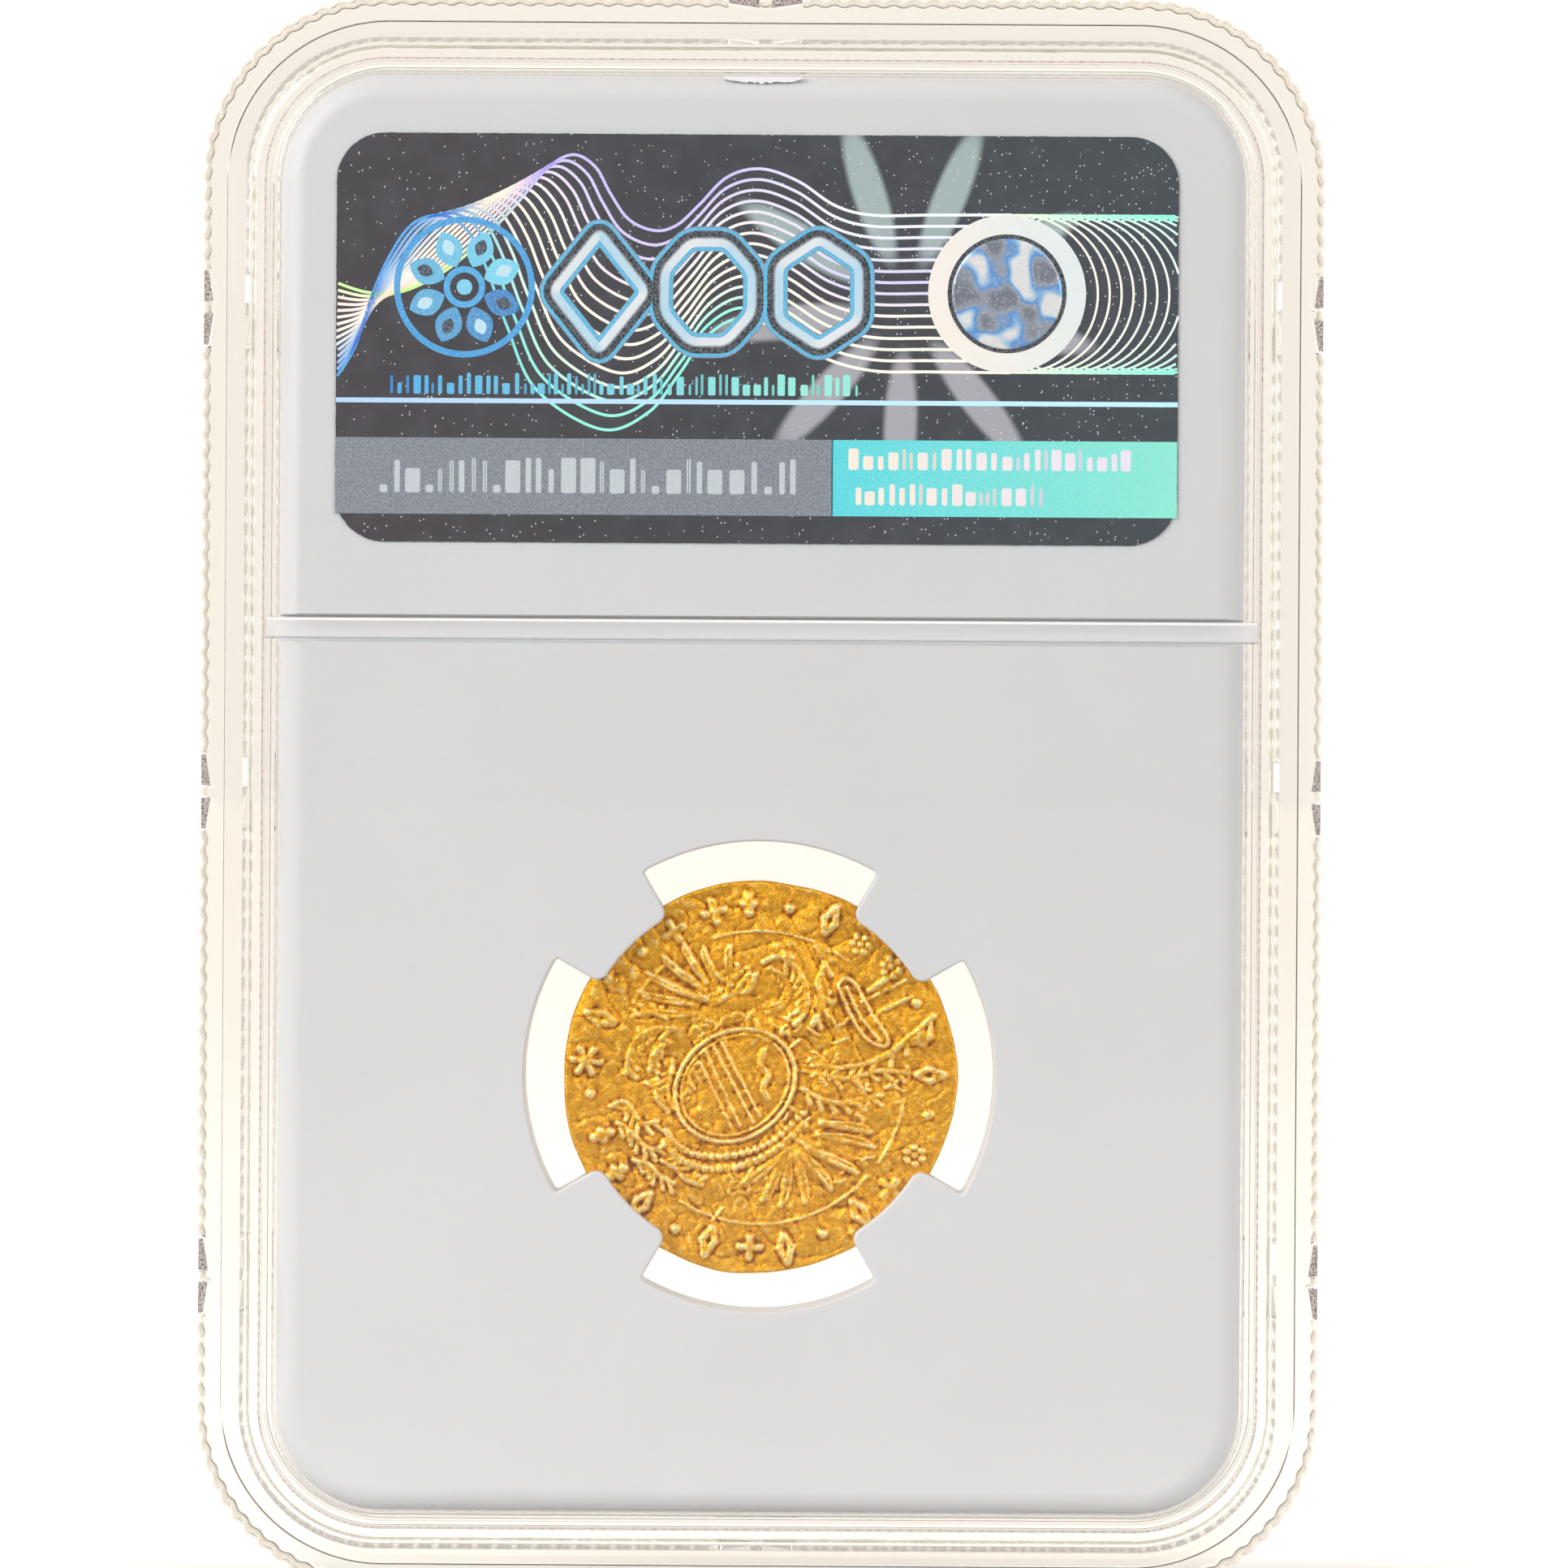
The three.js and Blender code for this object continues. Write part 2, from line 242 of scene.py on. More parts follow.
def curve(points, steps=8):
    """A smooth open curve through points (Catmull-Rom)."""
    p = np.asarray(points, float)
    p = np.concatenate([2 * p[:1] - p[1:2], p, 2 * p[-1:] - p[-2:-1]])
    t = np.linspace(0, 1, steps, endpoint=False)[:, None]
    made = [0.5 * (2 * b + (c - a) * t + (2 * a - 5 * b + 4 * c - d) * t ** 2
                   + (3 * b - a - 3 * c + d) * t ** 3) for a, b, c, d in zip(p, p[1:], p[2:], p[3:])]
    return np.concatenate(made + [p[-2:-1]])


def arc(x, z, radius_x, radius_z, start, end, tilt=0.0, steps=48):
    """Points on part of an ellipse, with angles in degrees."""
    angle = np.radians(np.linspace(start, end, steps))
    tilt = math.radians(tilt)
    u, v = radius_x * np.cos(angle), radius_z * np.sin(angle)
    return np.stack([x + u * math.cos(tilt) - v * math.sin(tilt),
                     z + u * math.sin(tilt) + v * math.cos(tilt)], 1)


def oval(u, v, radius_u, radius_v=None, steps=48):
    """A closed ellipse, or a circle if there is one radius."""
    return arc(u, v, radius_u, radius_v or radius_u, 0, 360 * (steps - 1) / steps, steps=steps)


def edge_knots():
    """Distances round the slab's edge, from the middle of its right side, to each end of each corner."""
    quarter = CORNER * math.pi / 2
    return np.cumsum([0, HALF_Z, quarter, 2 * HALF_X, quarter, 2 * HALF_Z, quarter, 2 * HALF_X,
                      quarter, HALF_Z])


def slab_edge(positions):
    """Points and outward directions at distances round the slab's edge."""
    knots = edge_knots()
    angle = np.interp(positions, knots, [0, 0, 1, 1, 2, 2, 3, 3, 4, 4]) * math.pi / 2
    x = np.interp(positions, knots, [1, 1, 1, -1, -1, -1, -1, 1, 1, 1]) * HALF_X
    z = np.interp(positions, knots, [0, 1, 1, 1, 1, -1, -1, -1, -1, 0]) * HALF_Z
    outward = np.stack([np.cos(angle), np.sin(angle)], 1)
    return np.stack([x, z + MIDDLE_Z], 1) + CORNER * outward, outward


def edge_inset(x, _, z):
    """How far in from the slab's outline a point lies, in millimetres, from its place in metres."""
    across, up = abs(x / MM) - HALF_X, abs(z / MM - MIDDLE_Z) - HALF_Z
    return CORNER - math.hypot(max(across, 0), max(up, 0)) - min(max(across, up), 0)


def notch_places():
    """Distances round the edge to the middle of each notch: three on each side, one above and one below."""
    knots = edge_knots()
    top, left, bottom = (knots[2] + knots[3]) / 2, (knots[4] + knots[5]) / 2, (knots[6] + knots[7]) / 2
    right = [NOTCH_SPACING, SLAB_ROUND - NOTCH_SPACING, 0]
    return right + [left + offset for offset in (-NOTCH_SPACING, 0, NOTCH_SPACING)] + [top, bottom]


def notch_depth(away):
    """Depth of a notch at a distance from its middle."""
    return NOTCH_DEPTH * (1 - NOTCH_TAPER * (away - NOTCH_RIB_HALF) / (NOTCH_HALF - NOTCH_RIB_HALF))


def edge_relief(positions, notched):
    """How far the ribs, and the notches if there are any, cut in at distances round the edge."""
    depth = RIB_DEPTH * (0.5 - 0.5 * np.cos(2 * math.pi * RIBS * positions / SLAB_ROUND))
    for place in [*notch_places(), SLAB_ROUND] if notched else []:  # the notch at 0 is also at the end
        away = np.abs(positions - place)
        inside = (away < NOTCH_HALF) & (away > NOTCH_RIB_HALF)
        depth = np.where(inside, np.maximum(depth, notch_depth(away)), depth)
        depth = np.where(away <= NOTCH_RIB_HALF, NOTCH_RIB_SUNK, depth)
    return depth


def edge_positions(notched):
    """Distances round the edge for six points to a rib, and two more on each side of a notch's rib."""
    positions = np.arange(RIBS * RIB_POINTS) * SLAB_ROUND / (RIBS * RIB_POINTS)
    if notched:
        extra = np.array([(place + way * at) % SLAB_ROUND for place in notch_places() for way in (-1, 1)
                          for at in (NOTCH_RIB_HALF, NOTCH_RIB_HALF + 0.04)])
        clear = np.abs(positions[:, None] - extra[None]).min(1) > 0.03
        positions = np.sort(np.concatenate([positions[clear], extra]))
    return positions


# ---------------------------------------------------------------- materials

class Nodes:
    """Builds the nodes of a material or a world."""

    def __init__(self, tree):
        self.nodes, self.links = tree.nodes, tree.links

    def add(self, kind, links=None, **settings):
        """A node. Names in settings are its properties or input sockets; links go to sockets."""
        node = self.nodes.new(kind)
        for key, value in settings.items():
            if hasattr(node, key):
                setattr(node, key, value)
            else:
                node.inputs[key.replace("_", " ")].default_value = value
        for socket, source in (links or {}).items():
            self.links.new(source, node.inputs[socket])
        return node

    def feed(self, node, values):
        """Gives each numbered input of a node a number, a colour or the output of another node."""
        for i, value in values.items():
            if isinstance(value, tuple):
                node.inputs[i].default_value = (*value, 1)
            elif isinstance(value, (int, float)):
                node.inputs[i].default_value = value
            else:
                self.links.new(value, node.inputs[i])

    def math(self, operation, *values):
        node = self.add("ShaderNodeMath", operation=operation)
        self.feed(node, dict(enumerate(values)))
        return node.outputs[0]

    def blend(self, factor, a, b, mode="MIX"):
        node = self.add("ShaderNodeMix", data_type="RGBA", blend_type=mode)
        self.feed(node, {0: factor, 6: a, 7: b})
        return node.outputs[2]

    def spread(self, source, low, high, from_low=0.0, from_high=1.0, smooth=False):
        """Turns the range from_low to from_high of the source into low to high."""
        node = self.add("ShaderNodeMapRange", interpolation_type="SMOOTHSTEP" if smooth else "LINEAR")
        self.feed(node, dict(enumerate((source, from_low, from_high, low, high))))
        return node.outputs[0]

    def ramp(self, source, stops):
        """Colours for the numbers of the source, from (place, colour) stops."""
        node = self.add("ShaderNodeValToRGB", {0: source})
        points = node.color_ramp.elements
        while len(points) < len(stops):
            points.new(0.5)
        for point, (at, colour) in zip(points, stops):
            point.position, point.color = at, (*colour, 1)
        return node.outputs["Color"]


class Material(Nodes):
    """A node material under construction."""

    def __init__(self, name):
        self.material = bpy.data.materials.new(name)
        self.material.use_nodes = True
        super().__init__(self.material.node_tree)
        self.shader = self.nodes["Principled BSDF"]
        self.output = self.nodes["Material Output"]
        self.place = self.add("ShaderNodeTexCoord").outputs["Object"]

    def noise(self, scale_mm, detail=2.0, place=None):
        """Noise with bumps about scale_mm across."""
        node = self.add("ShaderNodeTexNoise", {"Vector": place or self.place},
                        Scale=1 / (scale_mm * MM), Detail=detail)
        return node.outputs["Fac"]

    def set(self, **values):
        for key, value in values.items():
            self.shader.inputs[key.replace("_", " ")].default_value = value

    def drive(self, **sources):
        for key, source in sources.items():
            self.links.new(source, self.shader.inputs[key.replace("_", " ")])

    def bump(self, height, depth_mm):
        node = self.add("ShaderNodeBump", {"Height": height}, Strength=1.0, Distance=depth_mm * MM)
        self.drive(Normal=node.outputs[0])


def clear_plastic(name, tint, absorbed, density, roughness, ripple_mm, ripple_size, milk=0.0):
    """Clear plastic that bends what is seen through it and lets light reach what is behind it."""
    m = Material(name)
    m.set(Transmission_Weight=1.0 - milk, IOR=1.55)
    frost = m.add("ShaderNodeAttribute", attribute_name="frost").outputs["Fac"]
    m.drive(Base_Color=m.blend(frost, tint, FROST_TINT),
            Roughness=m.math("ADD", m.spread(m.noise(6.0), roughness, roughness * 2.2, 0.35, 0.7),
                             m.math("MULTIPLY", frost, FROST_ROUGHNESS)))
    m.bump(m.noise(ripple_size, 3.0), ripple_mm)
    path = m.add("ShaderNodeLightPath")
    passes = m.math("MAXIMUM", path.outputs["Is Shadow Ray"], path.outputs["Is Diffuse Ray"])
    through = m.add("ShaderNodeBsdfTransparent")
    mixed = m.add("ShaderNodeMixShader", {0: passes, 1: m.shader.outputs[0], 2: through.outputs[0]})
    m.links.new(mixed.outputs[0], m.output.inputs["Surface"])
    body = m.add("ShaderNodeVolumeAbsorption", Color=(*absorbed, 1), Density=density)
    m.links.new(body.outputs[0], m.output.inputs["Volume"])
    return m.material


def core_plastic():
    m = Material("white_moulded_plastic")
    m.set(Subsurface_Weight=0.15, Subsurface_Scale=0.001, IOR=1.5)
    m.drive(Base_Color=m.ramp(m.noise(9.0, 3.0), [(0.3, (0.69, 0.705, 0.72)), (0.7, (0.71, 0.725, 0.74))]),
            Roughness=m.spread(m.noise(1.5), 0.42, 0.58))
    m.bump(m.noise(0.12, 4.0), 0.002)
    return m.material


def rough_plastic(name, dark, light, size):
    """Plain dull plastic, mottled between two tones in spots about size millimetres across."""
    m = Material(name)
    grain = m.noise(size, 3.0)
    m.drive(Base_Color=m.ramp(grain, [(0.36, dark), (0.62, light)]), Roughness=m.spread(grain, 0.5, 0.7))
    m.bump(grain, 0.02)
    return m.material


# ---------------------------------------------------------------- shells

def block(x0, x1, y0, y1, z0, z1):
    flat = np.array([(x0, z0), (x1, z0), (x1, z1), (x0, z1)])
    return loft("cutter", [level_loop(flat, y, 1) for y in sorted((y0, y1))], PLAIN, smooth=False)


def shell(name, corners, side, notched):
    """A shell swept round the slab from its (inset, level, radius) corners, with pockets for a bar."""
    positions = edge_positions(notched)
    points, outward = slab_edge(positions)
    relief = edge_relief(positions, notched)
    loops = []
    for inset, level in rounded_profile(corners):
        fade = 1 - np.clip((inset - RIB_FADE[0]) / (RIB_FADE[1] - RIB_FADE[0]), 0, 1)
        loops.append(level_loop(points - (inset + relief * fade)[:, None] * outward, level, side))
    piece = loft(name, loops, SHELL)
    wall, low, high = WIDTH / 2 - CHAMBER_INSET, side * POCKET_LEVEL, side * (CHAMBER_LEVEL - 0.01)
    cutters = []
    for way in (-1, 1):
        x0, x1 = sorted((way * (wall - 0.4), way * (wall + POCKET_LENGTH)))
        cutters.append(block(x0, x1, low, high, BAR_Z - POCKET_HEIGHT / 2, BAR_Z + POCKET_HEIGHT / 2))
    combine(piece, cutters, "DIFFERENCE")
    piece.data.shade_smooth()
    insets = [edge_inset(*point.co) for point in piece.data.vertices]
    tag(piece, "frost", [1.0 if inset < FROST_INSET else 0.0 for inset in insets])
    return piece


def rear_shell():
    low = PARTING_GAP / 2
    return shell("rear_shell_clear", [
        (3.4, 3.3, 0), (2.62, 3.3, 0.05), (2.42, 3.95, 0.05), (1.45, 3.95, 0.05), (1.41, 2.9, 0.04),
        (0.3, 2.9, 0), (0.0, 2.9, 0.14), (0.0, low, 0.05), (0.3, low, 0),
        (2.62, low, 0.03), (2.62, 1.2, 0.05), (3.38, 1.2, 0.05), (3.38, low, 0.03),
        (4.0, low, 0.05), (4.0, 1.9, 0.12), (4.4, 1.9, 0),
    ], REAR, notched=True)


def front_shell():
    low = PARTING_GAP / 2
    return shell("front_shell_clear", [
        (4.9, 3.3, 0), (4.3, 3.3, 0.08), (4.1, 3.95, 0.08), (3.5, 3.95, 0.08), (3.35, 3.3, 0.06),
        (1.05, 3.3, 0.08), (1.03, 2.9, 0.05), (0.3, 2.9, 0), (0.0, 2.9, 0.14), (0.0, low, 0.05),
        (0.3, low, 0), (2.8, low, 0.03), (2.8, -0.7, 0.05), (3.2, -0.7, 0.05), (3.2, low, 0.03),
        (4.0, low, 0.05), (4.0, 1.9, 0.12), (4.4, 1.9, 0),
    ], FRONT, notched=False)


def strand(inset, level, radius, swell):
    """Points and faces of a thin tube that runs round the slab; swell scales its radius all along."""
    count, sides = len(swell), 6
    points, outward = slab_edge(np.arange(count) * SLAB_ROUND / count)
    loops = []
    for turn in 2 * math.pi * np.arange(sides) / sides:
        away = (inset + radius * swell * math.cos(turn))[:, None]
        loops.append(level_loop(points - away * outward, level + radius * swell * math.sin(turn), REAR))
    return np.concatenate(loops), loft_faces(sides, count, capped=False)


def weld_bead():
    """Melted plastic squeezed up each side of the tongue: one uneven clear strand, and one beaded strand
    whose opaque pink is a painted reflection of the edge ribs.
    """
    random = np.random.default_rng(11)
    count, level = 1500, 0.95
    rough = np.convolve(random.uniform(-1, 1, count + 4), np.ones(5) / 5, "valid")
    outer, outer_faces = strand(2.71, level, 0.055, 1 + 0.6 * rough)
    beads = 0.62 + 0.38 * np.clip(1.6 * np.cos(np.arange(count) * 2 * math.pi / 3), -1, 1)
    inner, inner_faces = strand(3.29, level, 0.06, beads * random.uniform(0.75, 1.15, count))
    inner_faces = [[corner + len(outer) for corner in face] for face in inner_faces]
    piece = new_piece("weld_bead_melted", np.concatenate([outer, inner]), outer_faces + inner_faces, BEAD)
    # The beaded strand's opaque pink is a painted reflection of the edge ribs.
    piece.data.materials.append(PINK_RIB_REFLECTION_PAINT)
    for face in piece.data.polygons[len(outer_faces):]:
        face.material_index = 1
    return piece


def notch_painted_shade():
    """Thin rough shelves that fill each notch on both sides of its middle rib, mottled grey-brown as painted
    shade for the dark look of the clear notch.
    """
    points, faces = [], []
    away = np.linspace(NOTCH_RIB_HALF + 0.04, NOTCH_HALF - 0.06, 14)
    for place in notch_places():
        for way in (-1, 1):
            edge, outward = slab_edge((place + way * away) % SLAB_ROUND)
            inner = edge - (notch_depth(away) - 0.02)[:, None] * outward
            flat = np.concatenate([edge - 0.1 * outward, inner[::-1]])
            start = len(points) * len(flat)
            points += [level_loop(flat, level, REAR) for level in NOTCH_SHELF_LEVELS]
            faces += [[start + corner for corner in face] for face in loft_faces(2, len(flat))]
    return new_piece("notch_painted_shade", np.concatenate(points), faces, NOTCH_SHADE_PAINT, smooth=False)


# ---------------------------------------------------------------- core

def opening_outline(grow=0.0):
    """The hole round the coin: four wide windows and, between them, four prongs with round corners."""
    wide, corner, tip = math.radians(30), 0.22, 0.65
    corner_turn = math.asin(corner / (HOLE_RADIUS - corner))
    tip_turn = math.asin(tip / (TIP_RADIUS + tip))
    square, gap = math.pi / 2, 0.01

    def bow(towards, distance, radius, start, end, steps):
        centre = distance * np.array([math.cos(towards), math.sin(towards)])
        return centre + arc(0, 0, radius, radius, math.degrees(start), math.degrees(end), steps=steps)

    points = []
    tip_place, corner_place = TIP_RADIUS + tip, HOLE_RADIUS - corner
    for middle in square * np.arange(4):
        rise, fall = middle - wide, middle + wide
        points += [
            bow(rise - tip_turn, tip_place, tip - grow, rise - tip_turn + math.pi, rise + square, 9),
            bow(rise + corner_turn, corner_place, corner + grow, rise - square, rise + corner_turn, 7),
            bow(0, 0, HOLE_RADIUS + grow, rise + corner_turn + gap, fall - corner_turn - gap, 41),
            bow(fall - corner_turn, corner_place, corner + grow, fall - corner_turn, fall + square, 7),
            bow(fall + tip_turn, tip_place, tip - grow, fall - square, fall + tip_turn - math.pi, 9),
            bow(0, 0, TIP_RADIUS + grow, fall + tip_turn + gap, fall + square / 3 - tip_turn - gap, 15),
        ]
    return np.concatenate(points) + np.array([0, HOLE_Z])


def lip(width, top, steps=5):
    """(distance outward, level) points on the small round edge of an opening."""
    turns = np.linspace(0, math.pi / 2, steps)
    return [(width * (1 - math.cos(t)), top - width + width * math.sin(t)) for t in turns]


def opening_cutter():
    edge = 0.16
    levels = lip(edge, CORE_LEVEL) + [(edge + 0.1, CORE_LEVEL + 0.3)]
    rear, front = ([level_loop(opening_outline(grow), level, side) for grow, level in levels]
                   for side in (REAR, FRONT))
    return loft("opening", rear[::-1] + front, PLAIN)


def plateau(x0, x1, z0, z1, radius, side):
    """The raised field of the core, with a wide rounded edge all round."""
    points, outward = corner_box(x0, x1, z0, z1, radius)
    loops = [level_loop(points, 0.25, side)]
    for turn in np.linspace(0, math.pi / 2, 9):
        inset = CORE_ROUND * (1 - math.cos(turn))
        level = CORE_LEVEL - CORE_ROUND * (1 - math.sin(turn))
        loops.append(level_loop(points - inset * outward, level, side))
    return loft("plateau", loops, WHITE)


def slot_cutter(side):
    """A long cutter for the bar's slot, which opens out in a small round lip."""
    half, floor_level, edge = 0.72, 0.62, 0.14
    up = [(half, floor_level)] + [(half + out, level) for out, level in lip(edge, CORE_LEVEL)]
    up.append((half + edge, CORE_LEVEL + 0.4))
    section = up + [(-z, level) for z, level in up[::-1]]
    loops = [np.array([(x, side * level, BAR_Z + z) for z, level in section]) for x in (-30, 30)]
    return loft("slot", loops, PLAIN)


def core():
    """A raised field on each side of a web, cut for the coin, its edge and the bars."""
    half_x, low_z, high_z = WIDTH / 2 - CORE_INSET, CORE_INSET, HEIGHT - CORE_INSET
    corner = CORNER - CORE_INSET
    base, direction = corner_box(-half_x, half_x, low_z, high_z, corner)
    base = base - 0.02 * direction
    body = loft("core_white", [level_loop(base, level, 1) for level in (-CORE_WEB_LEVEL, CORE_WEB_LEVEL)],
                WHITE)
    combine(body, [plateau(-half_x, half_x, low_z, high_z, corner, side) for side in (REAR, FRONT)], "UNION")
    seat = oval(0, HOLE_Z, SEAT_RADIUS, steps=160)
    groove = loft("seat", [level_loop(seat, level, 1) for level in (-SEAT_LEVEL, SEAT_LEVEL)], PLAIN)
    combine(body, [opening_cutter(), groove, slot_cutter(REAR), slot_cutter(FRONT)], "DIFFERENCE")
    body.data.shade_smooth()
    return body


def divider_bar(name, side):
    """A clear bar with softly rounded edges and square ends. A white line along its top edge is a painted
    highlight; along its bottom edge a white painted highlight runs beside a grey painted shade.
    """
    low, high = BAR_LEVELS
    middle, half_deep, half_high, radius = (low + high) / 2, (high - low) / 2 - 0.012, BAR_HEIGHT / 2, 0.16
    section = []
    for quarter, (sy, sz) in enumerate(((1, 1), (-1, 1), (-1, -1), (1, -1))):
        for turn in np.linspace(0, math.pi / 2, 4) + quarter * math.pi / 2:
            section.append((side * (middle + sy * (half_deep - radius) + radius * math.cos(turn)),
                            BAR_Z + sz * (half_high - radius) + radius * math.sin(turn)))
    loops = [np.array([(x, *point) for point in section]) for x in (-BAR_HALF_LENGTH, BAR_HALF_LENGTH)]
    piece = loft(name, loops, BAR)
    for material in (WHITE_AND_PAINTED_HIGHLIGHT, PAINTED_SHADE_GREY):
        piece.data.materials.append(material)
    # The white faces are painted highlights along the top and bottom edges, and the grey face is painted
    # shade beside the bottom one.
    white, grey = 1, 2
    for face, material in ((0, white), (1, white), (2, white), (12, grey), (13, white)):
        piece.data.polygons[face].material_index = material
    return piece


def gate_stub():
    """The ragged white scar on the core's top edge where the mould was filled."""
    random = np.random.default_rng(17)
    left, right, count, drop = -2.2, 2.0, 29, 0.36
    x = np.linspace(left, right, count)
    hang = drop * np.sin(np.pi * np.linspace(0.03, 0.97, count)) ** 0.4 * random.uniform(0.75, 1.1, count)
    top = HEIGHT - CORE_INSET - 0.06
    flat = np.concatenate([np.stack([x, top - hang], 1), [(right, top), (left, top)]])
    loops = [level_loop(flat, level, REAR) for level in (0.5, 1.55)]
    return loft("core_gate_stub", loops, WHITE_AND_PAINTED_HIGHLIGHT, smooth=False)


# ---------------------------------------------------------------- coin

def stroke(points, width=0.2, rise=0.09):
    """A raised line through points: its half width, and its height before wear."""
    return np.asarray(points, float), width, rise


def feather(root, tip, width, rise=0.13):
    """A full, pointed feather with a thin line down one side."""
    root, tip = np.array(root, float), np.array(tip, float)
    along = tip - root
    side = np.array([-along[1], along[0]]) / np.linalg.norm(along) * width
    left = curve([root, root + 0.45 * along + side, root + 0.85 * along + side, tip], 6)
    return [stroke(left, 0.13, rise * 0.8), stroke([root, root + 0.7 * along], width * 1.05, rise * 0.75),
            stroke([root + 0.5 * along, tip], width * 0.75, rise)]


def frond(points, barb=0.55, side=1, width=0.2, rise=0.12):
    """A stem with short barbs, like leaves or small feathers, along one side."""
    stem = curve(points, 6)
    made = [stroke(stem, width, rise)]
    for k in range(1, len(stem) - 2, 3):
        ahead = stem[k + 1] - stem[k - 1]
        ahead /= np.linalg.norm(ahead)
        out = side * np.array([-ahead[1], ahead[0]])
        tip = stem[k] + barb * (0.75 * out + 0.65 * ahead)
        made.append(stroke([stem[k], tip], width * 0.85, rise * 0.9))
    return made


def legend_marks(radius, count, seed, tall=1.5):
    """A ring of plain marks: lozenges, stars, leaves, crosses, rosettes and pellets."""
    ring = [(0.3 * math.cos(a), 0.3 * math.sin(a)) for a in np.radians(np.arange(6) * 60 + 30)]
    shapes = {  # lines, then their half width
        "lozenge": ([[(0, -0.3), (0, 0.3)], [(-0.14, 0), (0.14, 0)], [(0, -0.14), (0, 0.14)]], 0.34),
        "star": ([[(0, -0.5), (0, 0.5)], [(-0.42, -0.26), (0.42, 0.26)], [(-0.42, 0.26), (0.42, -0.26)]],
                 0.24),
        "leaf": ([[(0, -0.5), (0.22, -0.05), (0, 0.5)], [(0, -0.5), (-0.22, -0.05), (0, 0.5)]], 0.27),
        "cross": ([[(0, -0.36), (0, 0.36)], [(-0.36, 0), (0.36, 0)]], 0.27),
        "rosette": ([[point, point] for point in ring + [(0, 0)]], 0.24),
        "pellet": ([[(0, 0), (0, 0)]], 0.34),
    }
    names = list(shapes)[:-1]
    random = np.random.default_rng(seed)
    made = []
    for k in range(count):
        angle = 2 * math.pi * (k + random.uniform(-0.12, 0.12)) / count
        lines, width = shapes["pellet" if k % 4 == 2 else names[random.integers(len(names))]]
        reach = radius + random.uniform(-0.15, 0.25)
        rise = random.uniform(0.11, 0.18)
        out = np.array([math.cos(angle), math.sin(angle)])
        along = np.array([out[1], -out[0]])
        for line in lines:
            across, up = tall * np.array(line, float).T[:, :, None]
            made.append(stroke(reach * out + across * along + up * out, width, rise))
    return made


def scribble(region, count, length, seed, width=0.12, rise=0.06):
    """Short worn strokes scattered over a region given as (x, z, radius)."""
    random = np.random.default_rng(seed)
    made = []
    for _ in range(count):
        x, z, radius = region[random.integers(len(region))]
        start = np.array([x, z]) + random.normal(0, radius / 2, 2)
        turn = random.uniform(0, 2 * math.pi)
        swing = turn + random.uniform(-0.9, 0.9)
        middle = start + length * 0.5 * np.array([math.cos(turn), math.sin(turn)])
        end = middle + length * 0.5 * np.array([math.cos(swing), math.sin(swing)])
        made.append(stroke([start, middle, end], width, rise * random.uniform(0.6, 1.3)))
    return made


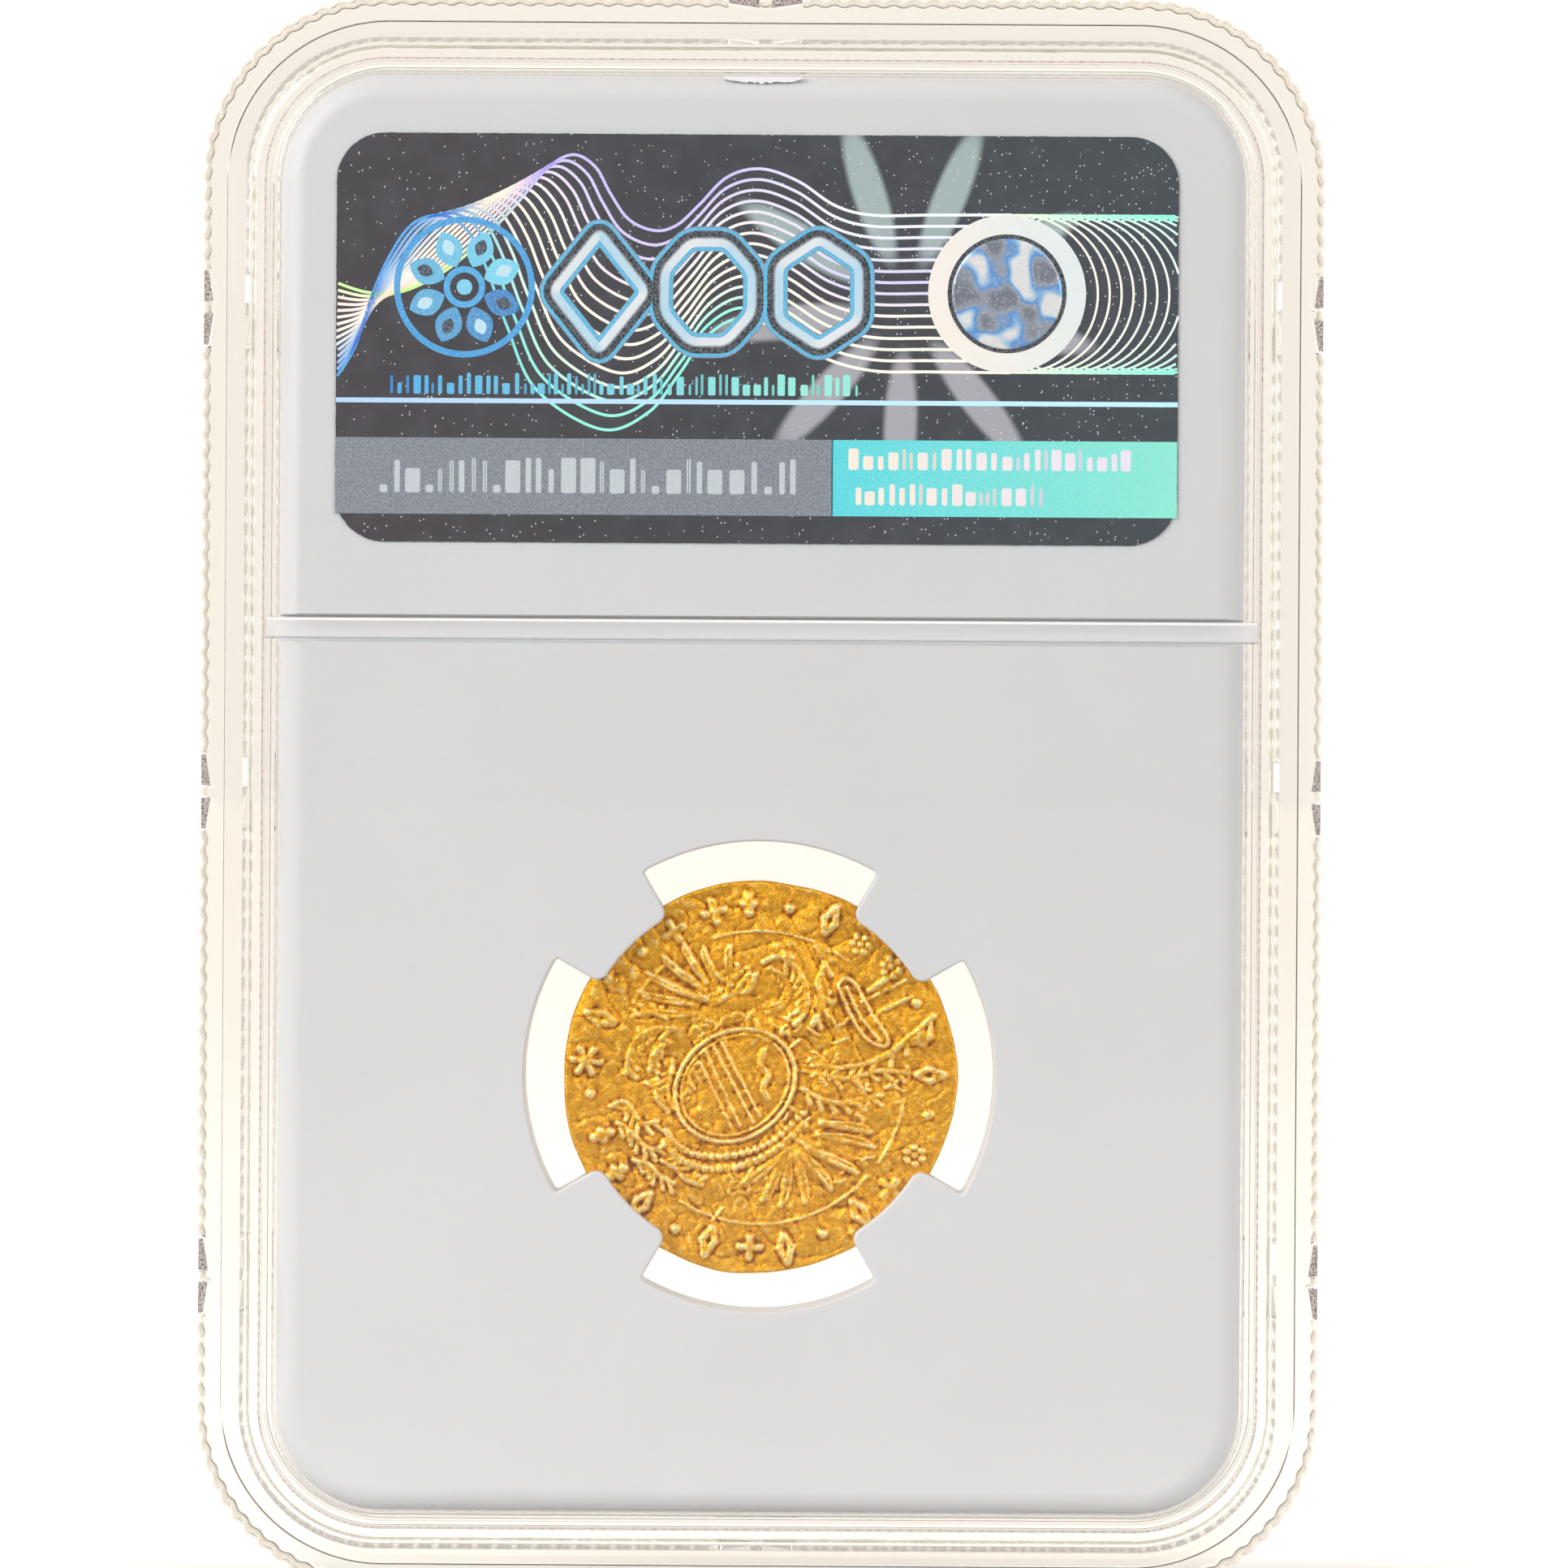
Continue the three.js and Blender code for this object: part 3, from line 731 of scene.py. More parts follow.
def rear_design():
    """An oval shield on a spread bird, with feather fans, fronds and beads, inside a ring of marks."""
    made = [stroke(arc(-1.3, -0.42, 3.42, 2.85, 0, 360, 35, 90), 0.15, 0.15),
            stroke(arc(-1.3, -0.42, 3.08, 2.52, 0, 360, 35, 90), 0.09, 0.08)]
    ridges = [((-3.2, 0.85), (-1.5, -2.7)), ((-2.9, 1.4), (-1.05, -2.6)), ((-2.5, 1.75), (-0.3, -2.45)),
              ((-2.05, 1.9), (0.05, -2.1))]
    made += [stroke(ridge, 0.1, 0.1) for ridge in ridges]
    made.append(stroke(curve([(0.25, 1.5), (0.05, 0.7), (0.45, 0.1), (0.2, -0.6), (0.4, -1.1)]), 0.22, 0.08))
    # two rows of beads below the shield
    for drop, size in ((0.0, 0.25), (-0.62, 0.3)):
        beads = curve([(-5.0, -2.9), (-4.4, -3.7), (-2.9, -4.25), (-0.9, -4.1), (0.9, -3.3), (2.4, -1.9)], 5)
        made += [stroke([point, point], size, 0.12) for point in beads + (0, drop)]
    # upper left feather fan
    for root, tip in (((-3.4, 3.9), (-6.5, 4.6)), ((-3.2, 4.2), (-6.0, 5.6)), ((-3.0, 4.7), (-5.2, 6.5)),
                      ((-2.9, 5.1), (-4.1, 7.2)), ((-2.4, 5.2), (-3.0, 7.0)), ((-1.6, 5.0), (-1.6, 7.1)),
                      ((-3.6, 3.4), (-5.6, 3.6))):
        made += feather(root, tip, 0.2)
    made += frond([(-3.2, 4.4), (-2.5, 4.0), (-1.4, 4.6), (-0.6, 4.7), (-0.2, 5.6)], 0.7)
    made += frond([(-2.4, 5.6), (-1.7, 5.2), (-1.0, 5.7)], 0.6)
    # neck and crest of the bird, over a soft mass
    neck = [(1.3, 6.5), (2.1, 5.7), (2.5, 4.7), (2.5, 3.7), (1.9, 2.9)]
    made += [stroke(curve(neck), 1.0, 0.07), stroke([(1.4, 6.6), (1.6, 6.5)], 0.4, 0.12),
             stroke(curve([(0.2, 6.2), (0.7, 6.5), (1.4, 6.6)]), 0.2, 0.12)]
    made += frond(neck, 0.75, -1, 0.22, 0.13)
    made += frond([(3.1, 7.1), (3.5, 6.2), (3.2, 5.1), (3.4, 4.0), (2.9, 2.9)], 0.6, 1, 0.24, 0.11)
    made += frond([(0.5, 5.9), (1.2, 5.5), (1.6, 4.7), (1.3, 3.9), (0.4, 3.5)], 0.5, -1, 0.16, 0.08)
    # paired long loops, and strokes that cross them
    made += [stroke(curve([(4.2, 5.0), (4.9, 3.4), (5.7, 2.2), (6.7, 1.7), (6.9, 2.2), (6.0, 3.6), (5.2, 5.0),
                           (4.6, 5.4), (4.2, 5.0)]), 0.13, 0.13),
             stroke(curve([(4.7, 4.9), (5.4, 3.4), (6.5, 2.0)]), 0.1, 0.1),
             stroke([(4.5, 5.1), (5.4, 3.6), (6.4, 2.1)], 0.6, 0.06),
             stroke([(5.9, 4.7), (7.4, 5.8)], 0.2, 0.1), stroke([(5.5, 4.1), (7.9, 5.3)], 0.12, 0.08),
             stroke([(6.1, 3.4), (8.2, 4.4)], 0.14, 0.08)]
    made += frond([(9.4, 3.4), (8.2, 2.3), (6.6, 1.1), (4.6, 0.6), (2.9, 0.7)], 0.8, 1, 0.2, 0.09)
    made += frond([(3.0, 0.3), (4.6, 0.0), (6.4, 0.4), (8.0, 0.3)], 0.7, -1, 0.18, 0.08)
    # breast of the bird and lower right fan
    made += [stroke([(4.2, -1.2), (5.6, -1.6)], 1.6, 0.06), stroke([(1.8, -4.4), (3.4, -4.9)], 1.5, 0.06)]
    made += frond([(2.4, -0.6), (3.6, -1.2), (4.9, -1.3), (6.6, -0.9)], 0.7, -1, 0.2, 0.09)
    for root, tip in (((1.6, -3.9), (-0.9, -5.7)), ((1.5, -4.0), (0.2, -6.6)), ((1.7, -4.1), (1.2, -6.9)),
                      ((2.0, -4.1), (2.5, -6.7)), ((2.3, -4.0), (3.9, -6.0)), ((2.6, -3.8), (5.3, -5.1)),
                      ((3.2, -3.0), (6.2, -3.7)), ((3.4, -2.4), (6.0, -2.9))):
        made += feather(root, tip, 0.24, 0.11)
    # fronds on the left
    for points, barb, side in (
        ([(-8.0, -1.6), (-7.3, -1.3), (-6.8, -1.9), (-6.3, -2.5), (-5.5, -2.4)], 0.7, -1),
        ([(-7.6, -2.5), (-6.9, -2.9), (-6.3, -3.6), (-5.6, -3.9), (-4.9, -3.6)], 0.7, -1),
        ([(-6.7, -4.5), (-6.0, -4.7), (-5.4, -5.3), (-4.6, -5.7)], 0.7, -1),
        ([(-5.2, -4.5), (-4.5, -4.9), (-3.9, -5.5), (-3.1, -5.8)], 0.6, 1),
        ([(-6.1, -0.3), (-5.6, -0.6), (-5.5, -1.2), (-5.0, -1.7)], 0.6, 1),
        ([(-4.7, 0.4), (-4.9, -0.3), (-4.9, -1.0), (-4.6, -1.7)], 0.5, -1),
        ([(-4.6, 2.6), (-5.6, 2.6), (-6.5, 2.1), (-7.0, 1.2), (-7.2, 0.2)], 0.8, 1),
        ([(-5.2, 1.7), (-5.7, 1.2), (-5.9, 0.4)], 0.6, 1),
        ([(-5.0, 3.2), (-5.9, 3.5), (-6.8, 3.3)], 0.5, -1),
    ):
        made += frond(points, barb, side)
    # inner circle, broken where the strike was weak
    for start, end in ((52, 108), (128, 150), (238, 318), (325, 352)):
        made.append(stroke(arc(0, 0, 7.9, 7.9, start, end), 0.09, 0.07))
    made += scribble([(-0.9, 3.2, 1.3), (0.9, 2.4, 0.9), (3.4, 3.4, 1.3), (-2.6, 2.8, 0.8)], 46, 0.7, 21)
    made += scribble([(-4.0, -0.2, 0.9), (3.4, 1.1, 1.2), (6.4, -0.8, 1.5), (-1.0, -6.0, 1.6)], 44, 0.8, 22)
    made += scribble([(2.2, -2.6, 0.8), (5.2, -4.4, 1.4), (-6.2, 1.2, 1.2), (0.0, -5.2, 1.2)], 36, 0.6, 23)
    return made + legend_marks(9.15, 27, 31)


def front_design():
    """A cross with lozenges in its angles, inside a circle and a ring of marks."""
    made = [stroke(arc(0, 0, 7.6, 7.6, 0, 360, steps=160), 0.13, 0.12)]
    for turn in (0, 90, 180, 270):
        a = math.radians(turn)
        spin = np.array([[math.cos(a), -math.sin(a)], [math.sin(a), math.cos(a)]])
        for points in ([(0.5, 0.5), (0.8, 5.2), (2.0, 6.4), (-2.0, 6.4), (-0.8, 5.2), (-0.5, 0.5)],
                       [(3.4, 2.2), (4.6, 3.4), (3.4, 4.6), (2.2, 3.4), (3.4, 2.2)]):
            made.append(stroke(np.array(points) @ spin.T, 0.2, 0.14))
        made.append(stroke(np.array([(3.4, 3.4), (3.41, 3.41)]) @ spin.T, 0.55, 0.14))
    made.append(stroke(arc(0, 0, 1.1, 1.1, 0, 360), 0.25, 0.14))
    return made + legend_marks(9.1, 26, 47) + scribble([(0, 0, 7.0)], 50, 0.7, 48)


def relief(x, z, strokes, seed):
    """Height of the design hammered into the coin, over its flat."""
    wave = 0.09 * smooth_noise(x, z, 3.1, seed) + 0.07 * smooth_noise(x, z, 1.4, seed + 1)
    grain = sum(deep * smooth_noise(x, z, size, seed + k)
                for k, (deep, size) in enumerate(((0.036, 0.62), (0.024, 0.36), (0.02, 0.2)), 2))
    creases = -0.05 * np.clip(1 - 3.5 * np.abs(smooth_noise(x + 0.5 * z, z - 0.3 * x, 1.1, seed + 6)), 0, 1)
    marks, masses = np.zeros_like(x), np.zeros_like(x)
    for points, width, rise in strokes:
        low, high = points.min(0) - width, points.max(0) + width
        near = (x > low[0]) & (x < high[0]) & (z > low[1]) & (z < high[1])
        if not near.any():
            continue
        p = np.stack([x[near], z[near]], 1)
        closest = np.full(len(p), 1e9)
        for a, b in zip(points, points[1:]):
            edge = b - a
            t = np.clip(((p - a) @ edge) / max(edge @ edge, 1e-9), 0, 1)
            closest = np.minimum(closest, ((p - a - t[:, None] * edge) ** 2).sum(1))
        shape = 1.5 * rise * np.clip(1 - (closest / width ** 2) ** 1.3, 0, 1)
        layer = marks if width < BROAD else masses
        layer[near] = np.maximum(layer[near], shape)
    worn = 0.8 + 0.35 * smooth_noise(x, z, 2.2, seed + 5)
    height = marks * np.clip(worn, 0.3, 1.1) + masses + wave + grain + creases
    edge = np.clip((np.hypot(x, z) - 9.9) / 0.7, 0, 1)
    return height * (1 - edge ** 2) + 0.02


def relief_shade_and_highlight(height, count):
    """0 in hollows and 1 on ridges, judged against the height round about: the mask for the gold's painted
    shade in hollows and painted highlight on ridges.
    """
    height = height.reshape(count, count)
    even = height
    for _ in range(8):
        for axis in (0, 1):
            even = (np.roll(even, 1, axis) + 2 * even + np.roll(even, -1, axis)) / 4
    return np.clip(0.5 + (height - even) / 0.11, 0, 1).ravel()


def coin_radius(angle):
    """The coin's edge: hammered out by hand, so it isn't quite round."""
    waves = ((2, 0.05, 0.4), (3, 0.06, 1.9), (7, 0.03, 0.8), (11, 0.025, 2.2), (17, 0.012, 0.3),
             (29, 0.008, 1.1))
    return 10.62 + sum(size * np.sin(count * angle + phase) for count, size, phase in waves)


def disc_grid(count):
    """A square grid of points pushed out into the coin's outline, and its rim in order."""
    line = np.linspace(-1, 1, count)
    u, v = np.meshgrid(line, line, indexing="ij")
    wide = np.abs(u) > np.abs(v)
    radius = np.where(wide, u, v)
    with np.errstate(divide="ignore", invalid="ignore"):
        turn = np.where(wide, np.pi / 4 * v / u, np.pi / 2 - np.pi / 4 * u / v)
    turn = np.nan_to_num(turn)
    x, z = radius * np.cos(turn), radius * np.sin(turn)
    reach = coin_radius(np.arctan2(z, x))
    k = np.arange(count - 1)
    index = np.arange(count * count).reshape(count, count)
    rim = np.concatenate([index[k, 0], index[-1, k], index[k[::-1] + 1, -1], index[0, k[::-1] + 1]])
    faces = np.stack([index[:-1, :-1], index[1:, :-1], index[1:, 1:], index[:-1, 1:]], -1).reshape(-1, 4)
    return (x * reach).ravel(), (z * reach).ravel(), rim, faces


def coin():
    """Fine relief on the rear and coarser relief on the front, joined by a rounded edge."""
    points, faces, painted_light_mask, rims = [], [], [], []
    start = 0
    for side, count, design, seed in ((REAR, 265, rear_design(), 101), (FRONT, 133, front_design(), 202)):
        x, z, rim, grid = disc_grid(count)
        x, z = x * FACE_SHARE, z * FACE_SHARE
        height = relief(-side * x, z, design, seed)
        points.append(np.stack([x, side * (COIN_HALF + height), z + COIN_Z], 1))
        faces += (grid + start).tolist()
        painted_light_mask.append(relief_shade_and_highlight(height, count))
        rims.append(rim + start)
        start += len(x)
    loops = [rims[0]]
    edge_x, edge_z = (points[0][rims[0], i] for i in (0, 2))
    for level, swell in ((-0.50, 1.009), (-0.2, 1.012), (0.25, 1.012), (0.50, 1.009)):
        ring = np.stack([edge_x * swell, np.full(len(edge_x), level), (edge_z - COIN_Z) * swell + COIN_Z], 1)
        points.append(ring)
        painted_light_mask.append(np.full(len(edge_x), 0.5))
        loops.append(start + np.arange(len(edge_x)))
        start += len(edge_x)
    for low, high in zip(loops, loops[1:]):
        faces += np.stack([low, np.roll(low, -1), np.roll(high, -1), high], 1).tolist()
    fine, coarse = loops[-1], rims[1]
    for k in range(len(coarse)):
        a, b, c = fine[2 * k], fine[2 * k + 1], fine[(2 * k + 2) % len(fine)]
        d, e = coarse[k], coarse[(k + 1) % len(coarse)]
        faces += [[a, b, d], [b, e, d], [b, c, e]]
    piece = new_piece("coin_struck", np.concatenate(points), faces, GOLD)
    # Mask for painted shade in the hollows and painted highlight on the ridges.
    tag(piece, "painted_light_mask", np.concatenate(painted_light_mask))
    return piece


def gold_with_painted_light():
    """Gold with painted light: darker and browner in the hollows as painted shade, and paler on the ridges as
    painted highlight.
    """
    m = Material("gold_with_painted_light")
    height = m.add("ShaderNodeAttribute", attribute_name="painted_light_mask").outputs["Fac"]
    tone = m.math("ADD", m.spread(height, 0.0, 0.75), m.spread(m.noise(0.3, 4.0), 0.0, 0.25, 0.3, 0.7))
    # The ramp paints shade in the hollows and highlight on the ridges.
    m.drive(Base_Color=m.ramp(tone, [(0.14, (0.28, 0.085, 0.002)), (0.36, (0.78, 0.34, 0.009)),
                                     (0.58, (0.95, 0.48, 0.02)), (0.82, (1.0, 0.80, 0.32))]),
            Roughness=m.spread(m.noise(0.5, 3.0), 0.2, 0.38, 0.3, 0.7))
    m.set(Metallic=1.0)
    m.bump(m.noise(0.1, 5.0), 0.055)
    return m.material


# ---------------------------------------------------------------- printed labels

class Print:
    """Thin flat shapes on one side of the slab, each with its own colour of ink, made into one piece.

    Places are in millimetres from the middle of the label: u to the right as its reader sees it,
    and v up. A reader of the rear looks along +y, and a reader of the front along -y.
    """

    def __init__(self, side, middle_x, middle_z):
        self.side, self.x, self.z = side, middle_x, middle_z
        self.points, self.faces, self.inks = [], [], []
        self.count = 0

    def add(self, flat, level, inks):
        """Puts in points (u, v) with their inks, and gives the number of the first."""
        flat = np.asarray(flat, float)
        level = np.broadcast_to(np.asarray(level, float), len(flat))
        first, self.count = self.count, self.count + len(flat)
        across = self.x - self.side * flat[:, 0]
        self.points.append(np.stack([across, self.side * level, self.z + flat[:, 1]], 1))
        self.inks.append(np.broadcast_to(np.asarray(inks, float), (len(flat), 3)))
        return first

    def shape(self, flat, low, high, ink):
        """A filled outline."""
        start = self.count
        for level in (low, high):
            self.add(flat, level, ink)
        self.faces += [[start + corner for corner in face] for face in loft_faces(2, len(flat))]

    def line(self, path, width, low, high, inks, closed=False):
        """A ribbon along a path. inks is one colour, or one for each point of the path."""
        self.band(path, [(-width / 2, low), (-width / 2, high), (width / 2, high), (width / 2, low)],
                  [inks] * 4, closed)

    def band(self, path, section, inks, closed=False):
        """A closed section of (across, level) points swept along a path, with inks for each."""
        path = np.asarray(path, float)
        if closed:
            along = np.roll(path, -1, 0) - np.roll(path, 1, 0)
        else:
            along = np.gradient(path, axis=0)
        along /= np.maximum(np.linalg.norm(along, axis=1, keepdims=True), 1e-9)
        if closed:
            sharp = np.roll(path, -1, 0) - path
            sharp /= np.linalg.norm(sharp, axis=1, keepdims=True)
            mitre = 1 / np.clip((sharp * along).sum(1), 0.5, 1)
        else:
            mitre = np.ones(len(path))
        normal = np.stack([-along[:, 1], along[:, 0]], 1) * mitre[:, None]
        starts = [self.add(path + across * normal, level, ink) for (across, level), ink in zip(section, inks)]
        n, m = len(path), len(section)
        for k in range(m):
            a, b = starts[k], starts[(k + 1) % m]
            i = np.arange(n if closed else n - 1)
            j = (i + 1) % n
            self.faces += np.stack([a + i, a + j, b + j, b + i], 1).tolist()
        if not closed:
            self.faces += [list(starts), [start + n - 1 for start in starts]]

    def piece(self, name, material):
        made = new_piece(name, np.concatenate(self.points), self.faces, material, smooth=False)
        ink = made.data.attributes.new("ink", "FLOAT_COLOR", "POINT")
        colours = np.concatenate(self.inks)
        colours = np.concatenate([colours, np.ones((len(colours), 1))], 1)
        ink.data.foreach_set("color", colours.astype(np.float32).ravel())
        return made


def rounded_bar(u, v, width, height, radius):
    return corner_box(u - width / 2, u + width / 2, v - height / 2, v + height / 2, radius, 1.0)[0]


def petal(heart, angle, near, length, half_width, power=1.0):
    """A pointed leaf that grows out from heart at an angle, and the way it points."""
    out, side = np.array([np.cos(angle), np.sin(angle)]), np.array([-np.sin(angle), np.cos(angle)])
    t = np.linspace(0, 1, 13)[:, None]
    middle, swell = heart + out * (near + length * t), half_width * side * np.sin(np.pi * t) ** power
    return np.concatenate([middle + swell, (middle - swell)[-2:0:-1]]), out


def on_label(points):
    """Label places measured right and down from the security label's top left corner."""
    points = np.asarray(points, float)
    return np.stack([points[:, 0] - LABEL_WIDTH / 2, LABEL_HEIGHT / 2 - points[:, 1]], 1)


def mixed(a, b, t):
    """Numbers or colours part of the way from a to b, for each t."""
    t = np.clip(np.asarray(t, float), 0, 1)[..., None]
    return np.asarray(a) * (1 - t) + np.asarray(b) * t


def inside_label(points, margin=0.02):
    """True where a point right and down from the corner is within the label's rounded outline."""
    across = np.abs(points[:, 0] - LABEL_WIDTH / 2) - (LABEL_WIDTH / 2 - LABEL_CORNER)
    down = np.abs(points[:, 1] - LABEL_HEIGHT / 2) - (LABEL_HEIGHT / 2 - LABEL_CORNER)
    beyond = np.hypot(np.maximum(across, 0), np.maximum(down, 0)) + np.minimum(np.maximum(across, down), 0)
    return beyond < LABEL_CORNER - margin


def runs(keep):
    """The unbroken stretches of a path whose points are kept."""
    cuts = np.flatnonzero(np.diff(np.concatenate([[0], keep.astype(int), [0]])))
    return [slice(a, b) for a, b in zip(cuts[::2], cuts[1::2]) if b - a > 1]


# Colours of the foil
MINT, CYAN, AZURE, LILAC = (0.25, 0.86, 0.70), (0.06, 0.72, 0.80), (0.03, 0.32, 0.75), (0.56, 0.50, 0.92)
CREAM, PEARL, ROSE, LIME = (0.96, 0.90, 0.78), (0.86, 0.90, 0.90), (0.95, 0.72, 0.70), (0.62, 0.96, 0.35)

# First and last of the wave lines, as points that match phase for phase
FIRST_WAVE = [
    (-0.3, 8.0), (1.6, 8.6), (3.4, 8.6), (5.6, 7.6), (7.6, 6.0), (9.6, 3.9), (11.3, 1.9),
    (12.7, 1.15), (13.9, 1.8), (14.7, 3.2), (15.7, 4.6), (17.1, 5.2), (18.3, 4.9), (19.5, 3.8),
    (21.0, 2.3), (22.8, 1.85), (24.8, 2.5), (26.8, 3.8), (28.8, 4.3), (32.0, 4.28), (36.3, 4.25),
]
LAST_WAVE = [
    (-0.3, 13.7), (1.0, 11.6), (2.0, 8.6), (2.9, 6.6), (3.9, 5.1), (5.0, 4.5), (6.2, 4.6),
    (7.3, 5.6), (8.2, 7.6), (9.2, 10.4), (10.8, 13.8), (14.3, 15.9), (16.8, 15.0), (18.4, 13.0),
    (19.9, 10.9), (21.7, 9.9), (23.8, 10.5), (26.3, 12.0), (28.9, 12.67), (32.0, 12.71), (36.3, 12.73),
]
WAVES, WAVE_WIDTH = 15, 0.155
RING, CIRCLE_RADIUS, CIRCLES, CIRCLE_STEP = (36.07, 8.49), 4.24, 20, 0.64
RULE_V, RULE_TOP = 14.4, 1.8065
LINE_LEVELS = (1.799, 1.805)
MARK_LEVELS = (1.806, 1.810)
CARD_MARK_LEVELS = (1.849, 1.854)


def wave_ink(share, path):
    """Rainbow foil: the colour of a wave line turns with its place and its share of the way down."""
    x = path[:, 0]
    valley = mixed(mixed(LILAC, CREAM, share * 2.2), MINT, (share - 0.72) * 5)
    level = mixed(mixed(PEARL, LILAC, share * 1.6), CREAM, (share - 0.45) * 5)
    fan = mixed(mixed(LIME, ROSE, share * 6), mixed(CREAM, AZURE, (share - 0.45) * 1.8), share * 1.6)
    return mixed(mixed(fan, valley, (x - 6) / 5), level, (x - 21) / 6)


def security_lines():
    """Wave lines that run into repeated circles at the right, and the thin rule across the label."""
    print_ = Print(REAR, LABEL_X, LABEL_Z)
    for share in np.arange(WAVES) / (WAVES - 1):
        path = curve(mixed(FIRST_WAVE, LAST_WAVE, share), 14)
        for run in runs(inside_label(path)):
            print_.line(on_label(path[run]), WAVE_WIDTH, *LINE_LEVELS, wave_ink(share, path[run]))
    for k in range(1, CIRCLES + 1):
        circle = arc(RING[0] + CIRCLE_STEP * k, RING[1], CIRCLE_RADIUS, CIRCLE_RADIUS, -112, 112, steps=80)
        away = np.abs(circle[:, 1] - RING[1]) / CIRCLE_RADIUS
        for run in runs(inside_label(circle)):
            ink = mixed(mixed(CREAM, PEARL, k / 12), MINT, away[run] * (0.1 + k / 26))
            print_.line(on_label(circle[run]), 0.12, *LINE_LEVELS, ink)
    across = np.linspace(0, 1, 120)
    rule = np.stack([0.03 + (LABEL_WIDTH - 0.06) * across, np.full(120, RULE_V)], 1)
    ink = mixed((0.42, 0.62, 0.9), (0.5, 0.85, 0.95), across)
    print_.line(on_label(rule), 0.26, LINE_LEVELS[0], RULE_TOP, ink)
    return print_


def chrome_frame(print_, corners):
    """A bevelled closed frame, printed to look like chrome with an azure edge."""
    path, half, level = on_label(corners), 0.675, MARK_LEVELS[0]
    edge, azure, silver = (0.10, 0.42, 0.70), (0.05, 0.55, 0.85), (0.80, 0.83, 0.85)
    grey, dark, black = (0.22, 0.25, 0.29), (0.012, 0.016, 0.03), (0.004, 0.005, 0.01)
    rows = [  # place across the frame, height and ink
        (-1, 0, black), (-1, 0.006, grey), (-0.86, 0.009, azure), (-0.66, 0.012, edge), (-0.6, 0.018, silver),
        (-0.05, 0.03, silver), (0.1, 0.03, grey), (0.2, 0.026, dark), (0.62, 0.02, dark), (0.7, 0.014, azure),
        (0.88, 0.01, edge), (1, 0.006, grey), (1, 0, black),
    ]
    tone = 0.5 + 0.5 * np.cos(4 * np.pi * np.arange(len(path)) / len(path) + 0.9)
    inks = [mixed(ink, azure, 0.45 * tone * (ink == silver)) for _, _, ink in rows]
    print_.band(path, [(half * across, level + high) for across, high, _ in rows], inks, closed=True)


def polygon(x, y, radius_x, radius_y, sides, turn, round_off):
    """A regular polygon with rounded corners, right and down from the label's corner."""
    angle = np.radians(turn) + 2 * np.pi * np.arange(sides) / sides
    tips = np.stack([x + radius_x * np.cos(angle), y + radius_y * np.sin(angle)], 1)
    return np.concatenate([bend(tip + (before - tip) * round_off, tip, tip + (after - tip) * round_off, 7)
                           for before, tip, after in zip(np.roll(tips, 1, 0), tips, np.roll(tips, -1, 0))])


def tick_row(print_, random, start, end, foot, widths, heights, gaps, radius, levels, ink, dot=None):
    """A row of plain upright ticks in place of lettering; those as wide as dot are only as tall."""
    x = start
    while x < end:
        wide, tall = random.choice(widths), random.choice(heights)
        tall = dot if wide == dot else tall
        bar = rounded_bar(x + wide / 2, foot - tall / 2, wide, tall, radius)
        print_.shape(on_label(bar), *levels, ink(x))
        x += wide + random.uniform(*gaps)


def label_rosette(print_, heart, circle):
    """Eight leaves with lighter and darker hearts, inside a ring and round a disc."""
    low, high = MARK_LEVELS
    for k in range(8):
        leaf, out = petal(heart, 2 * np.pi * (k + 0.5) / 8, 1.15, 2.05, 0.72, 0.8)
        azure = mixed((0.02, 0.24, 0.6), (0.2, 0.7, 0.9), k / 7)
        print_.shape(on_label(leaf[::-1]), low, high + 0.005, azure)
        inner = heart + (leaf - heart - out * 2.2) * 0.45 + out * 2.3
        ink = (0.55, 0.80, 0.92) if k % 2 else (0.03, 0.05, 0.09)
        print_.shape(on_label(inner[::-1]), high + 0.004, high + 0.007, ink)
    for radius, ink in ((3.62, (0.03, 0.36, 0.76)), (0.95, (0.05, 0.42, 0.80))):
        print_.line(on_label(heart + radius * circle), 0.34, low, high + 0.006, ink, closed=True)
    print_.shape(on_label(heart + 0.42 * circle[::-1]), low, high + 0.005, (0.20, 0.65, 0.90))


